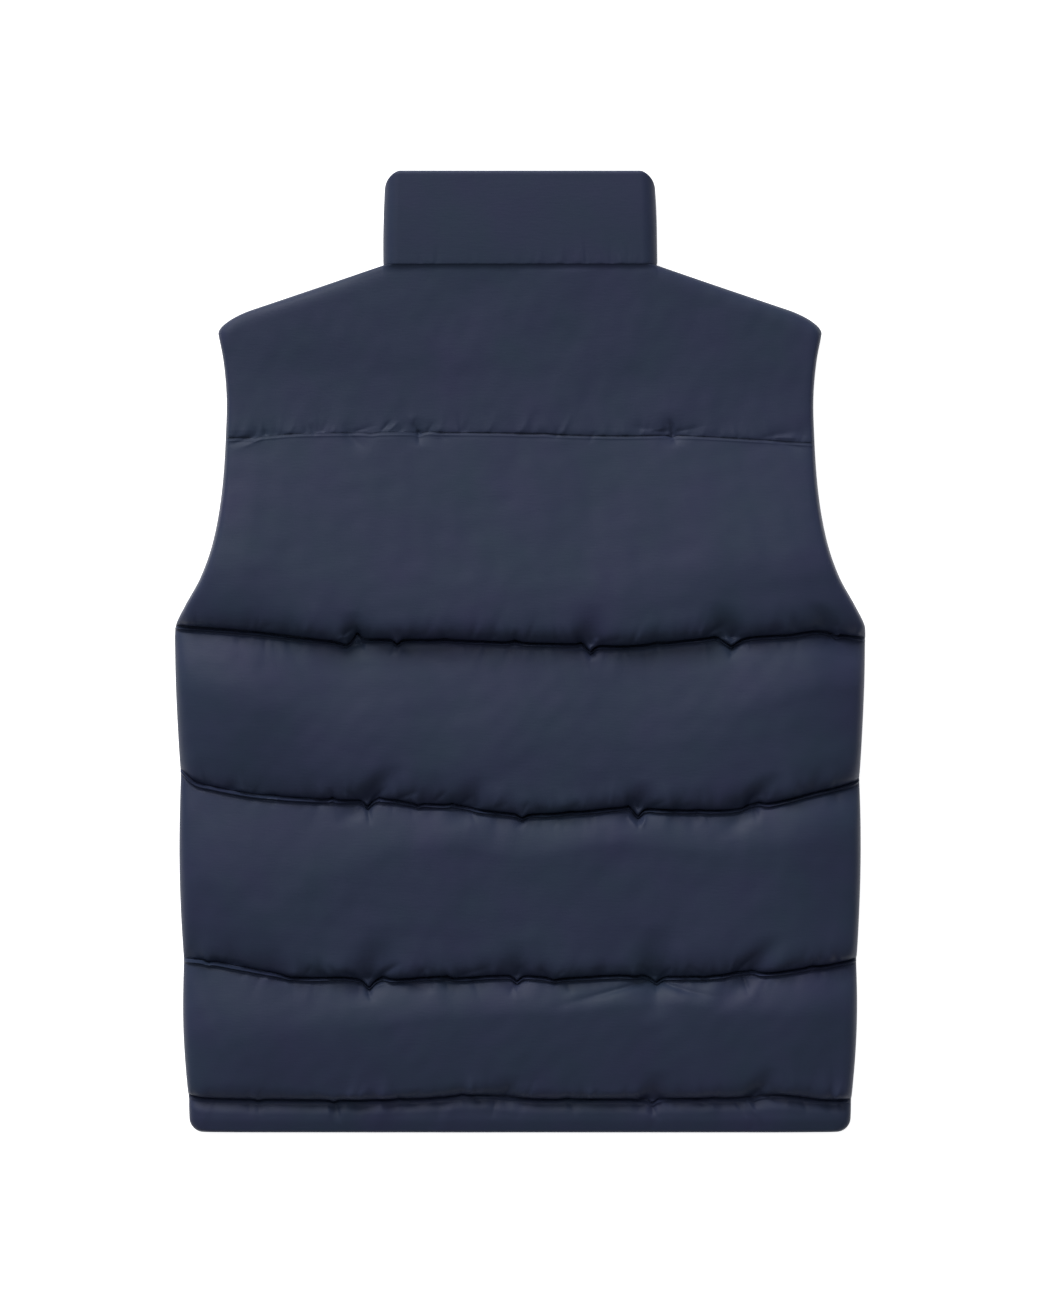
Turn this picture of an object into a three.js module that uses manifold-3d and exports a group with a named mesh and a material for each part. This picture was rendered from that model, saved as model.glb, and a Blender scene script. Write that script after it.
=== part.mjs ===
// A padded, quilted vest with a stand collar, laid flat on its zipped front, so its back shows from above.
// X runs across the garment, +Y goes up to the collar and +Z comes out of the surface that it lies on.
// Sizes are millimetres. The origin is under the middle of the garment, on that surface.
import * as THREE from "three";
import Module from "manifold-3d";

// Driving dimensions of the cut, laid flat.
const LENGTH = 796.8; // hem to the top of the collar
const HEM_Y = -LENGTH / 2;
const TOP_Y = LENGTH / 2;
const CHEST_HALF = 286.4; // half of the widest part, just under the armhole
const SHOULDER_HALF = 250.4;
const SHOULDER_TIP_Y = 263.5;
const NECK_HALF = 113.7;
const NECK_Y = 320.3;
const SHOULDER_FALL = 0.338; // drop of the shoulder seam for each millimetre across
const TIP_ROUND = 28; // stretch of the shoulder seam that rounds over to the tip
const TIP_DROP = 10;
const HEM_CORNER = 11;
const FRONT_ARMHOLE_INSET = 9; // the front armhole is cut this much deeper
const FRONT_NECK_DROP = 58;
const FRONT_NECK_CURVE = 2.2; // power of the front neck's curve

// Heights above the surface that the vest lies on.
const LAYER_MIDDLE = 20; // where the front and back layers part, in the middle of the body
const LAYER_EDGE = 9; // the same at the side, shoulder tip and hem
const LAYER_NECK = 12.3; // the same at the neck
const SIDE_FADE = 70;
const HEM_FADE = 110;
const NECK_FADE = 60;
const NECK_LAYER_RISE = { from: 100, to: 250 };
const CHEST_RISE = { from: 210, over: 150 }; // the body grows thicker from the shoulders down
const SEAM_GAP = 0.3;
const LAYER_GAP = 0.45; // from the parting surface to each layer, away from the side seams
const EDGE_GAP = 0.15;
const GAP_FADE = 30;

// Thickness of the padded cloth.
const FRONT_CROWN = 30; // pressed flat against the surface, so it is cut off there
const FRONT_PUFF = { outer: 2.4, inner: 0.62 }; // powers of the front padding's rise
const FRONT_SEAM_MOST = 8;
const FRONT_ZIP_SIDE = { thick: 7, over: 22 }; // the padding is thin beside the zip
const CLOSED_EDGE = 1.2; // at the side and shoulder seams
const OPEN_EDGE = 6.5; // at an armhole
const ROUND_SIDE = 24;
const ROUND_OPEN = 18;
const ROUND_SHOULDER = 18;
const EDGE_ROLL = 4;
const EDGE_ROLL_LOSS = 0.45; // share of an open edge's height that its roll takes
const EDGE_OPENS = { fromUnderarm: 26, fromTip: 22 };
const NECK_SEAM = 9.4;
const NECK_SETTLE = 2.4; // power of the rise below the neck seam
const GATHER_FADE = 1.5; // power with which a gather fades away from its seam
const YOKE_TOP = 22.6; // the yoke's outer face lies level at this height
const YOKE_SAG = { rise: 5, over: 52, power: 1.5 }; // its padding has settled towards its lower seam
const SEAM_ROLL = 4; // the padding stands up this much at once below a seam
const SEAM_ROLL_OVER = 7;

// Armhole edge of the back, from the underarm up to the shoulder tip.
const ARMHOLE = [
  { up: 13, half: CHEST_HALF },
  { up: 22, half: 285.4 },
  { up: 37, half: 278 },
  { up: 62, half: 264.2 },
  { up: 92, half: 254 },
  { up: 134, half: 247 },
  { up: 190, half: 243.6 },
  { up: 215, half: 243.6 },
  { up: 242, half: 246.2 },
  { up: SHOULDER_TIP_Y, half: SHOULDER_HALF },
];

// Side seam, from the underarm down: it is pinched in at each quilting seam and bulges between them.
const SIDE = [
  { up: 13, half: CHEST_HALF, bulge: 0.6 },
  { up: -103, half: 281.4, bulge: 2 },
  { up: -256.3, half: 278.9, bulge: 2.2 },
  { up: -371, half: 274.7, bulge: 0.3 },
  { up: HEM_Y, half: 273.4, bulge: 0 },
];

// Quilting seams, top to bottom. Across runs from -1 at the left side to 1 at the right.
const SEAMS = [
  {
    thick: 13.5,
    route: [
      { across: -1, up: 176.5 },
      { across: -0.75, up: 180.5 },
      { across: -0.45, up: 181.6 },
      { across: 0, up: 180.8 },
      { across: 0.35, up: 178.2 },
      { across: 0.6, up: 178.6 },
      { across: 0.8, up: 175.8 },
      { across: 1, up: 172.4 },
    ],
  },
  {
    thick: 7,
    route: [
      { across: -1, up: 22 },
      { across: -0.77, up: 17 },
      { across: -0.52, up: 8.8 },
      { across: -0.3, up: 10.6 },
      { across: 0, up: 8 },
      { across: 0.27, up: 5.2 },
      { across: 0.45, up: 8 },
      { across: 0.62, up: 11.6 },
      { across: 0.86, up: 17.4 },
      { across: 1, up: 14.5 },
    ],
  },
  {
    thick: 6.5,
    route: [
      { across: -1, up: -96.6 },
      { across: -0.95, up: -107.4 },
      { across: -0.76, up: -118.2 },
      { across: -0.48, up: -122.4 },
      { across: -0.24, up: -125.7 },
      { across: 0, up: -132.4 },
      { across: 0.22, up: -130.2 },
      { across: 0.54, up: -130.6 },
      { across: 0.68, up: -125.8 },
      { across: 0.85, up: -116.9 },
      { across: 1, up: -104.1 },
    ],
  },
  {
    thick: 6,
    route: [
      { across: -1, up: -253.9 },
      { across: -0.83, up: -259.7 },
      { across: -0.63, up: -268.4 },
      { across: -0.36, up: -270 },
      { across: -0.08, up: -267.2 },
      { across: 0.3, up: -267.4 },
      { across: 0.45, up: -268.4 },
      { across: 0.64, up: -264.2 },
      { across: 0.84, up: -260.9 },
      { across: 1, up: -253.5 },
    ],
  },
  {
    thick: 6,
    route: [
      { across: -1, up: -367.3 },
      { across: -0.75, up: -369.4 },
      { across: -0.46, up: -369.9 },
      { across: -0.14, up: -366 },
      { across: 0.07, up: -369 },
      { across: 0.45, up: -369.2 },
      { across: 0.7, up: -367.8 },
      { across: 0.85, up: -366.4 },
      { across: 1, up: -370.3 },
    ],
  },
];

// Gathers where a quilting seam pulls the padding in: a trough that crosses seam number "seam" at "x",
// reaches "above" and "below" it, leans by "lean" for each millimetre up, and takes "share" of the height.
const GATHERS = [
  { seam: 0, x: -83, above: 14, below: 14, half: 9, lean: -0.3, share: 0.35 },
  { seam: 0, x: 126, above: 22, below: 12, half: 9, lean: -0.2, share: 0.4 },
  { seam: 1, x: -135, above: 24, below: 20, half: 10, lean: -0.1, share: 0.5 },
  { seam: 1, x: 55, above: 34, below: 16, half: 11, lean: 0.2, share: 0.45 },
  { seam: 1, x: 173, above: 30, below: 18, half: 13, lean: -0.3, share: 0.45 },
  { seam: 1, x: 258, above: 26, below: 16, half: 9, lean: -0.5, share: 0.4 },
  { seam: 2, x: -127, above: 30, below: 24, half: 11, lean: 0.8, share: 0.55 },
  { seam: 2, x: -45, above: 26, below: 22, half: 12, lean: 0.5, share: 0.4 },
  { seam: 2, x: 97, above: 24, below: 22, half: 10, lean: 0.2, share: 0.5 },
  { seam: 2, x: 190, above: 28, below: 30, half: 10, lean: 0.7, share: 0.5 },
  { seam: 3, x: -124, above: 46, below: 24, half: 15, lean: 0.3, share: 0.6 },
  { seam: 3, x: -2, above: 30, below: 20, half: 11, lean: 0, share: 0.45 },
  { seam: 3, x: 112, above: 44, below: 40, half: 15, lean: 0, share: 0.6 },
  { seam: 3, x: 189, above: 34, below: 36, half: 11, lean: 0.7, share: 0.5 },
  { seam: 4, x: -12, above: 20, below: 12, half: 10, lean: 0.2, share: 0.35 },
  { seam: 4, x: 109, above: 26, below: 18, half: 13, lean: 0.2, share: 0.5 },
  { seam: 4, x: 193, above: 26, below: 18, half: 11, lean: 0.6, share: 0.45 },
];

// Baffles from the yoke down: how thick the padding is at its crown, how fast it rises below the upper seam,
// and, at places across, how far it takes to rise below the upper seam and to fall to the lower one.
const BAFFLES = [
  {
    name: "yoke",
    frontCrownAt: 0.3,
    innerSteps: 4,
    reach: [
      { across: -1, rise: 16, fall: 12 },
      { across: 1, rise: 16, fall: 12 },
    ],
  },
  {
    name: "upper_baffle",
    crown: 27,
    power: 1.3,
    frontCrownAt: 0.42,
    innerSteps: 4,
    reach: [
      { across: -1, rise: 125, fall: 27 },
      { across: -0.6, rise: 130, fall: 24 },
      { across: -0.3, rise: 140, fall: 26 },
      { across: 0, rise: 148, fall: 21 },
      { across: 0.3, rise: 148, fall: 22 },
      { across: 0.55, rise: 122, fall: 34 },
      { across: 0.75, rise: 100, fall: 42 },
      { across: 1, rise: 90, fall: 45 },
    ],
  },
  {
    name: "middle_baffle",
    crown: 25,
    power: 2.2,
    frontCrownAt: 0.5,
    innerSteps: 2,
    reach: [
      { across: -1, rise: 62, fall: 58 },
      { across: -0.78, rise: 60, fall: 54 },
      { across: -0.55, rise: 84, fall: 42 },
      { across: -0.35, rise: 104, fall: 30 },
      { across: 0, rise: 94, fall: 34 },
      { across: 0.3, rise: 104, fall: 30 },
      { across: 0.6, rise: 80, fall: 40 },
      { across: 0.8, rise: 58, fall: 50 },
      { across: 1, rise: 42, fall: 60 },
    ],
  },
  {
    name: "lower_baffle",
    crown: 23,
    power: 2.3,
    frontCrownAt: 0.52,
    innerSteps: 2,
    reach: [
      { across: -1, rise: 80, fall: 46 },
      { across: -0.76, rise: 84, fall: 42 },
      { across: -0.56, rise: 64, fall: 31 },
      { across: -0.34, rise: 39, fall: 24 },
      { across: 0, rise: 35, fall: 28 },
      { across: 0.3, rise: 28, fall: 26 },
      { across: 0.6, rise: 33, fall: 28 },
      { across: 1, rise: 42, fall: 34 },
    ],
  },
  {
    name: "waist_baffle",
    crown: 21,
    power: 2.3,
    frontCrownAt: 0.52,
    innerSteps: 4,
    reach: [
      { across: -1, rise: 66, fall: 20 },
      { across: -0.6, rise: 51, fall: 18 },
      { across: -0.35, rise: 35, fall: 15 },
      { across: 0, rise: 33, fall: 15 },
      { across: 0.27, rise: 24, fall: 14 },
      { across: 0.45, rise: 20, fall: 14 },
      { across: 0.62, rise: 31, fall: 15 },
      { across: 1, rise: 46, fall: 15 },
    ],
  },
];

// Rows of points on a baffle's outer face, measured from its lower and its upper seam.
const ROWS_FROM_LOWER = [0, 2.5, 8, 17, 31];
const ROWS_FROM_UPPER = [0, 3.5, 11, 25, 44];
const FRONT_ROWS = [0, 0.05, 0.15, 0.3, 0.7, 0.85, 0.95, 1];

// The hem casing, and the heights of its padding.
const HEM_ROWS = [0, 0.12, 0.4, 0.8, 1];
const HEM_EDGE = 5.5;
const HEM_CROWN = 9.5;
const HEM_ROUND = 0.7; // power of the hem's round top
const FRONT_HEM_THICK = 8.6;
const FRONT_HEM_FALL = { drop: 2, power: 4 }; // towards its seam
const HEM_SEAM = SEAMS.length - 1;

// Places of the lengthwise sections.
const SIDE_STEPS = [0, 2, 6, 14, 26, 40];
const FRONT_SIDE_STEPS = [0, 2, 6, 14, 26, 40, 54, SIDE_FADE];
const NECK_COLUMNS = 26;
const SHOULDER_COLUMNS = 9;

// Collar.
const COLLAR_LAYER = 12;
const COLLAR_HEIGHT = TOP_Y - NECK_Y - SEAM_GAP;
const COLLAR_TOP_IN = 1.7; // the collar narrows by this much at its top
const COLLAR_CORNER = 13;
const COLLAR_CORNER_MOST = 12.9; // how far along its corner the outermost section stands
const COLLAR_SEAM = 8.4;
const COLLAR_CROWN = 0.6;
const COLLAR_BACK_STEPS = 12;
const COLLAR_FOLD_STEPS = 6;

// Zip at the middle of the front.
const ZIP_EDGE = 5.2; // from the middle to the front edge of each side
const TAPE_HALF = 13.5;
const TAPE_THICK = 1.2;
const TAPE_ROOM = 15.2;
const TAPE_RECESS = 1.65;
const TAPE_STEP = 1.4;
const TAPE_TOP_Y = 335;
const TAPE_FROM_HEM = 1;
const BOX_FROM_HEM = 2;
const CHAIN_HALF = 3;
const CHAIN_THICK = 2.4;
const ZIP_BOX = { half: 4, height: 10, thick: 3.4, corner: 1 };
const SLIDER = { half: 4.6, length: 12, thick: 3.4, y: 318.3, corner: 1.6 };
const BRIDGE = { half: 1.2, low: 1.9, length: 5.8, leg: 1.2, drop: 2.9, bar: 0.9 };
const PULL = { half: 3.2, length: 27, thick: 1, slotHalf: 2, slotLength: 3.9, bar: 1, corner: 0.45 };
const PULL_AXIS_FROM_LEG = 1.2;

const NAVY = { color: 0x2e3445, roughness: 0.55, metalness: 0 };
const NAVY_TRIM = { color: 0x272c3a, roughness: 0.7, metalness: 0 };
const DARK_METAL = { color: 0x2b2d33, roughness: 0.4, metalness: 0.8 };

const { lerp, clamp, smoothstep } = THREE.MathUtils;

/** A smooth curve through the rows of a table, as a function of its key column. */
function through(rows, key, value) {
  const table = [...rows].sort((a, b) => a[key] - b[key]);
  const at = (k) => table[clamp(k, 0, table.length - 1)];
  const slope = (k) => {
    const [before, after] = [at(k - 1), at(k + 1)];
    return (after[value] - before[value]) / (after[key] - before[key]);
  };
  return (wanted) => {
    const place = clamp(wanted, table[0][key], table[table.length - 1][key]);
    const k = Math.max(1, table.findIndex((row) => row[key] >= place));
    const [a, b] = [at(k - 1), at(k)];
    const span = b[key] - a[key];
    const t = (place - a[key]) / span;
    const hermite = [2 * t ** 3 - 3 * t ** 2 + 1, t ** 3 - 2 * t ** 2 + t, t ** 3 - t ** 2];
    return (
      hermite[0] * a[value] +
      hermite[1] * span * slope(k - 1) +
      (1 - hermite[0]) * b[value] +
      hermite[2] * span * slope(k)
    );
  };
}

/** 0 at an edge, 1 from "width" inwards, with a level top. */
const bump = (inside, width) => 1 - (1 - clamp(inside / width, 0, 1)) ** 2;

/** The same with a steep, round edge. */
const roundOver = (inside, width) => Math.sqrt(bump(inside, width));

const armholeHalf = through(ARMHOLE, "up", "half");
const seamRoutes = SEAMS.map((seam) => through(seam.route, "across", "up"));

/** Half the width of the back at height y. */
function halfWidth(y) {
  if (y >= SIDE[0].up) return armholeHalf(y);
  const k = SIDE.findIndex((row, i) => i > 0 && y >= row.up - 1e-6);
  const [above, below] = [SIDE[k - 1], SIDE[k]];
  const t = (above.up - y) / (above.up - below.up);
  const corner = Math.max(0, HEM_CORNER - (y - HEM_Y));
  const cut = HEM_CORNER - Math.sqrt(Math.max(0, HEM_CORNER ** 2 - corner ** 2));
  return lerp(above.half, below.half, t) + above.bulge * Math.sin(Math.PI * t) - cut;
}

/** How much deeper the front is cut at the armhole. */
function frontInset(y) {
  const t = clamp((y - SIDE[0].up) / (SHOULDER_TIP_Y - SIDE[0].up), 0, 1);
  return FRONT_ARMHOLE_INSET * Math.sin(Math.PI * t);
}

/** Top edge of the back: the neck seam, then the shoulder seam down to its rounded tip. */
function backTop(x) {
  const out = Math.abs(x) - NECK_HALF;
  if (out <= 0) return NECK_Y;
  const t = clamp((Math.abs(x) - SHOULDER_HALF + TIP_ROUND) / TIP_ROUND, 0, 1);
  return NECK_Y - SHOULDER_FALL * out - TIP_DROP * (1 - Math.sqrt(1 - t * t));
}

/** Neck seam of the front, which dips towards the zip. */
function frontNeck(x) {
  const middle = NECK_HALF - COLLAR_LAYER / 2;
  return NECK_Y - FRONT_NECK_DROP * (1 - clamp(Math.abs(x) / middle, 0, 1) ** FRONT_NECK_CURVE);
}

/** Top edge of the front. */
const frontTop = (x) => (Math.abs(x) < NECK_HALF ? frontNeck(x) : backTop(x));

/** Height of the surface where the front and back layers lie on each other. */
function parting(x, y) {
  const inside = halfWidth(y) - Math.abs(x);
  const nearNeck =
    smoothstep(NECK_HALF + NECK_FADE - Math.abs(x), 0, NECK_FADE) *
    smoothstep(y, NECK_LAYER_RISE.from, NECK_LAYER_RISE.to);
  const edge = lerp(LAYER_EDGE, LAYER_NECK, nearNeck);
  const chest = smoothstep(CHEST_RISE.from - y, 0, CHEST_RISE.over);
  const rise = bump(inside, SIDE_FADE) * bump(y - HEM_Y, HEM_FADE) * chest;
  return edge + (LAYER_MIDDLE - edge) * rise;
}

/** Distance from the parting surface to a layer, which closes at the side seam. */
const layerGap = (inside) => lerp(EDGE_GAP, LAYER_GAP, clamp(inside / GAP_FADE, 0, 1));

/** Rise below a seam: steep at the seam and level from "reach" on. */
const settle = (below, reach, power) => 1 - (1 - clamp(below / reach, 0, 1)) ** power;

/** Rise of a front's padding between its two seams, as a share of its full height. */
function puff(v, crownAt) {
  const warped = v ** (Math.log(0.5) / Math.log(crownAt));
  return (1 - Math.abs(2 * warped - 1) ** FRONT_PUFF.outer) ** FRONT_PUFF.inner;
}

/** Share of the height that the gathers leave at a point of the back. */
function gathered(x, y) {
  return GATHERS.reduce((left, g) => {
    const rise = y - seamRoutes[g.seam](g.x / CHEST_HALF);
    const reach = rise > 0 ? g.above : g.below;
    const fade = clamp(1 - Math.abs(rise) / reach, 0, 1) ** GATHER_FADE;
    const off = (x - g.x - g.lean * rise) / g.half;
    return left * (1 - g.share * fade * Math.exp(-off * off));
  }, 1);
}

/** Height left at the outer edge of a layer: sewn shut below the armhole and open at it. */
function edgeThickness(y) {
  const fromUnderarm = clamp((y - SIDE[0].up) / EDGE_OPENS.fromUnderarm, 0, 1);
  const fromTip = clamp((SHOULDER_TIP_Y - y) / EDGE_OPENS.fromTip, 0, 1);
  return lerp(CLOSED_EDGE, OPEN_EDGE, fromUnderarm * fromTip);
}

/** Thickness of a padded layer, rounded down towards its outer edge. */
function rounded(thick, inside, y) {
  const edge = edgeThickness(y);
  const open = (edge - CLOSED_EDGE) / (OPEN_EDGE - CLOSED_EDGE);
  const width = lerp(ROUND_SIDE, ROUND_OPEN, open);
  const full = edge + (Math.max(thick, edge) - edge) * roundOver(inside, width);
  return full * (1 - EDGE_ROLL_LOSS * open * (1 - roundOver(inside, EDGE_ROLL)));
}

/** Turns every face outwards, whichever way the sections ran. */
function facingOut(geometry) {
  const { array } = geometry.getAttribute("position");
  const index = geometry.getIndex().array;
  const corner = (k) => new THREE.Vector3().fromArray(array, index[k] * 3);
  let volume = 0;
  for (let k = 0; k < index.length; k += 3)
    volume += corner(k).dot(corner(k + 1).cross(corner(k + 2)));
  if (volume < 0)
    for (let k = 0; k < index.length; k += 3)
      [index[k], index[k + 1]] = [index[k + 1], index[k]];
  geometry.computeVertexNormals();
  return geometry;
}

/**
 * A closed solid through sections. Each section is { outer, inner }: two lists of points that run side by
 * side. The sections are joined all round, and the first and last are closed by a ladder between the lists.
 */
function throughSections(sections) {
  const ring = ({ outer, inner }) => [...outer, ...[...inner].reverse()];
  const rings = sections.map(ring);
  const [nOuter, count] = [sections[0].outer.length, rings[0].length];
  const faces = [];
  for (let s = 0; s + 1 < rings.length; s++)
    for (let k = 0; k < count; k++) {
      const [a, b] = [s * count + k, s * count + ((k + 1) % count)];
      faces.push(a, a + count, b, b, a + count, b + count);
    }
  const nInner = count - nOuter;
  for (const first of [0, (rings.length - 1) * count]) {
    const turn = first ? [0, 2, 1] : [0, 1, 2];
    let [i, j] = [0, 0];
    while (i < nOuter - 1 || j < nInner - 1) {
      const stepOuter = j === nInner - 1 || (i + 1) * (nInner - 1) <= (j + 1) * (nOuter - 1);
      const [a, b] = [first + i, first + count - 1 - j];
      const c = i < nOuter - 1 && stepOuter ? first + ++i : first + count - 1 - ++j;
      const face = [a, c, b];
      faces.push(...turn.map((k) => face[k]));
    }
  }
  const geometry = new THREE.BufferGeometry();
  const places = rings.flat().flatMap((p) => p.toArray());
  geometry.setAttribute("position", new THREE.Float32BufferAttribute(places, 3));
  geometry.setIndex(faces);
  return facingOut(geometry);
}

/** A named mesh in one of the finishes. */
function piece(name, geometry, finish) {
  const mesh = new THREE.Mesh(geometry, new THREE.MeshStandardMaterial(finish));
  mesh.name = name;
  return mesh;
}

/** Even steps from a to b, both included. */
const steps = (a, b, count) => Array.from({ length: count + 1 }, (_, k) => lerp(a, b, k / count));

/** Places across the back, as functions of height: close together at the sides, where it rounds over. */
function backColumns() {
  const last = SIDE_STEPS[SIDE_STEPS.length - 1];
  const neck = NECK_HALF / (SHOULDER_HALF - last);
  const shares = [
    ...steps(-1, -neck, SHOULDER_COLUMNS),
    ...steps(-neck, neck, NECK_COLUMNS).slice(1, -1),
    ...steps(neck, 1, SHOULDER_COLUMNS),
  ];
  const sides = SIDE_STEPS.slice(0, -1);
  return [
    ...sides.map((step) => (y) => step - halfWidth(y)),
    ...shares.map((share) => (y) => share * (halfWidth(y) - last)),
    ...sides.map((step) => (y) => halfWidth(y) - step).reverse(),
  ];
}

// Where the front's middle columns stand at shoulder height, so that the collar's sections can meet them.
const FRONT_NECK_PLACES = [40, 62, 84, NECK_HALF - COLLAR_LAYER, NECK_HALF, 146];
const FRONT_ZIP_PLACES = [ZIP_EDGE, TAPE_ROOM, TAPE_ROOM + TAPE_STEP];

/** Places across one front, from its zip edge out to the side. */
function frontColumns() {
  const from = FRONT_ZIP_PLACES[FRONT_ZIP_PLACES.length - 1];
  const side = (y) => halfWidth(y) - frontInset(y);
  const reach = SHOULDER_HALF - SIDE_FADE - from;
  return [
    ...FRONT_ZIP_PLACES.map((place) => () => place),
    ...FRONT_NECK_PLACES.map((place) => {
      const share = (place - from) / reach;
      return (y) => from + share * (side(y) - SIDE_FADE - from);
    }),
    ...[...FRONT_SIDE_STEPS].reverse().map((step) => (y) => side(y) - step),
  ];
}

/** Lower and upper edge of baffle k at a share across, parted from its neighbours. */
function baffleEdges(k, top) {
  const half = SEAM_GAP / 2;
  const low = (across) => seamRoutes[k](across) + half;
  const high = k ? (across) => seamRoutes[k - 1](across) - half : top;
  return { low, high };
}

/** Places a point of a panel: its column gives x, and v runs from its lower edge to its upper one. */
function placed(column, edges, v) {
  const guess = column(0);
  const across = clamp(guess / halfWidth(0), -1, 1);
  const y = lerp(edges.low(across), edges.high(across, column), v);
  return [column(y), y];
}

const reaches = BAFFLES.map(({ reach }) => ({
  rise: through(reach, "across", "rise"),
  fall: through(reach, "across", "fall"),
}));

/** Thickness of back baffle k inside its sides, "above" its lower and "below" its upper seam. */
function backThickness(k, x, y, above, below) {
  const across = x / CHEST_HALF;
  const [rise, fall] = [reaches[k].rise(across), reaches[k].fall(across)];
  const low = SEAMS[k].thick;
  let upper;
  if (k) {
    const top = SEAMS[k - 1].thick;
    const roll = SEAM_ROLL * settle(below, SEAM_ROLL_OVER, 2);
    upper = top + roll + (BAFFLES[k].crown - top - SEAM_ROLL) * settle(below, rise, BAFFLES[k].power);
  } else {
    const level = YOKE_TOP - parting(x, y);
    const atNeck = lerp(NECK_SEAM, level, settle(below, rise, NECK_SETTLE));
    const atShoulder = lerp(CLOSED_EDGE, level, roundOver(below, ROUND_SHOULDER));
    const sag = YOKE_SAG.rise * clamp(1 - above / YOKE_SAG.over, 0, 1) ** YOKE_SAG.power;
    upper = sag + lerp(atShoulder, atNeck, roundOver(NECK_HALF - Math.abs(x), COLLAR_LAYER));
  }
  const full = low + (upper - low) * roundOver(above, fall);
  return CLOSED_EDGE + (full - CLOSED_EDGE) * gathered(x, y);
}

/** Shares of the way up a baffle where its outer face has rows of points. */
function backRows(height) {
  const lower = ROWS_FROM_LOWER.map((step) => step / height);
  const upper = ROWS_FROM_UPPER.map((step) => 1 - step / height).reverse();
  return [...lower, (lower[lower.length - 1] + upper[0]) / 2, ...upper];
}

/** One padded baffle of the back. */
function backBaffle(k) {
  const edges = baffleEdges(k, (across, column) => backTop(column(NECK_Y)));
  const sections = backColumns().map((column) => {
    const [[, low], [, high]] = [placed(column, edges, 0), placed(column, edges, 1)];
    const outer = backRows(high - low).map((v) => {
      const [x, y] = placed(column, edges, v);
      const inside = halfWidth(y) - Math.abs(x);
      const thick = rounded(backThickness(k, x, y, y - low, high - y), inside, y);
      return new THREE.Vector3(x, y, parting(x, y) + layerGap(inside) + thick);
    });
    const inner = steps(0, 1, BAFFLES[k].innerSteps).map((v) => {
      const [x, y] = placed(column, edges, v);
      return new THREE.Vector3(x, y, parting(x, y) + layerGap(halfWidth(y) - Math.abs(x)));
    });
    return { outer, inner };
  });
  return piece("back_" + BAFFLES[k].name, throughSections(sections), NAVY);
}

/** Height of a front layer's plain inner face, which is stepped down under the zip tape. */
function frontInner(x, y) {
  const underTape = Math.abs(x) <= TAPE_ROOM + 1e-6 ? TAPE_RECESS : 0;
  return parting(x, y) - layerGap(halfWidth(y) - Math.abs(x)) - underTape;
}

/** A section of a front: its outer face lies on the surface wherever the padding reaches it. */
function frontSection(column, edges, rows, innerSteps, thicknessAt) {
  const outer = rows.map((v) => {
    const [x, y] = placed(column, edges, v);
    const inside = halfWidth(y) - frontInset(y) - x;
    const thick = rounded(thicknessAt(x, y, v), inside, y);
    const least = frontInner(x, y) - CLOSED_EDGE;
    return new THREE.Vector3(x, y, clamp(parting(x, y) - LAYER_GAP - thick, 0, least));
  });
  const inner = steps(0, 1, innerSteps).map((v) => {
    const [x, y] = placed(column, edges, v);
    return new THREE.Vector3(x, y, frontInner(x, y));
  });
  return { outer, inner };
}

/** Mirrors sections made for the right of the view to the side that is wanted. */
const onSide = (sections, side) =>
  sections.map(({ outer, inner }) => {
    const flip = (p) => new THREE.Vector3(side * p.x, p.y, p.z);
    return { outer: outer.map(flip), inner: inner.map(flip) };
  });

/** One padded baffle of a front. Side is -1 for the wearer's left and 1 for the right. */
function frontBaffle(k, side) {
  const { frontCrownAt, innerSteps, name } = BAFFLES[k];
  const mirrored = {
    low: (across) => baffleEdges(k).low(side * across),
    high: (across, column) =>
      k ? baffleEdges(k).high(side * across) : frontTop(column(NECK_Y)),
  };
  const thicknessAt = (x, y, v) => {
    const atTop = x < NECK_HALF ? NECK_SEAM : CLOSED_EDGE;
    const upper = k ? Math.min(SEAMS[k - 1].thick, FRONT_SEAM_MOST) : atTop;
    const base = lerp(Math.min(SEAMS[k].thick, FRONT_SEAM_MOST), upper, v);
    const full = base + (FRONT_CROWN - base) * puff(v, frontCrownAt);
    const besideZip = Math.min(full, FRONT_ZIP_SIDE.thick);
    return lerp(besideZip, full, bump(x - ZIP_EDGE, FRONT_ZIP_SIDE.over));
  };
  const sections = frontColumns().map((column) =>
    frontSection(column, mirrored, FRONT_ROWS, innerSteps, thicknessAt),
  );
  const label = side < 0 ? "front_left_" : "front_right_";
  return piece(label + name, throughSections(onSide(sections, side)), NAVY);
}

const hemEdges = {
  low: () => HEM_Y,
  high: (across) => seamRoutes[HEM_SEAM](across) - SEAM_GAP / 2,
};

/** The hem casing across the back. */
function backHem() {
  const sections = backColumns().map((column) => ({
    outer: HEM_ROWS.map((v) => {
      const [x, y] = placed(column, hemEdges, v);
      const inside = halfWidth(y) - Math.abs(x);
      const base = lerp(HEM_EDGE, SEAMS[HEM_SEAM].thick, v);
      const thick = base + (HEM_CROWN - base) * Math.sin(Math.PI * v) ** HEM_ROUND;
      return new THREE.Vector3(x, y, parting(x, y) + layerGap(inside) + rounded(thick, inside, y));
    }),
    inner: [0, 1].map((v) => {
      const [x, y] = placed(column, hemEdges, v);
      return new THREE.Vector3(x, y, parting(x, y) + layerGap(halfWidth(y) - Math.abs(x)));
    }),
  }));
  return piece("back_hem", throughSections(sections), NAVY);
}

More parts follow.
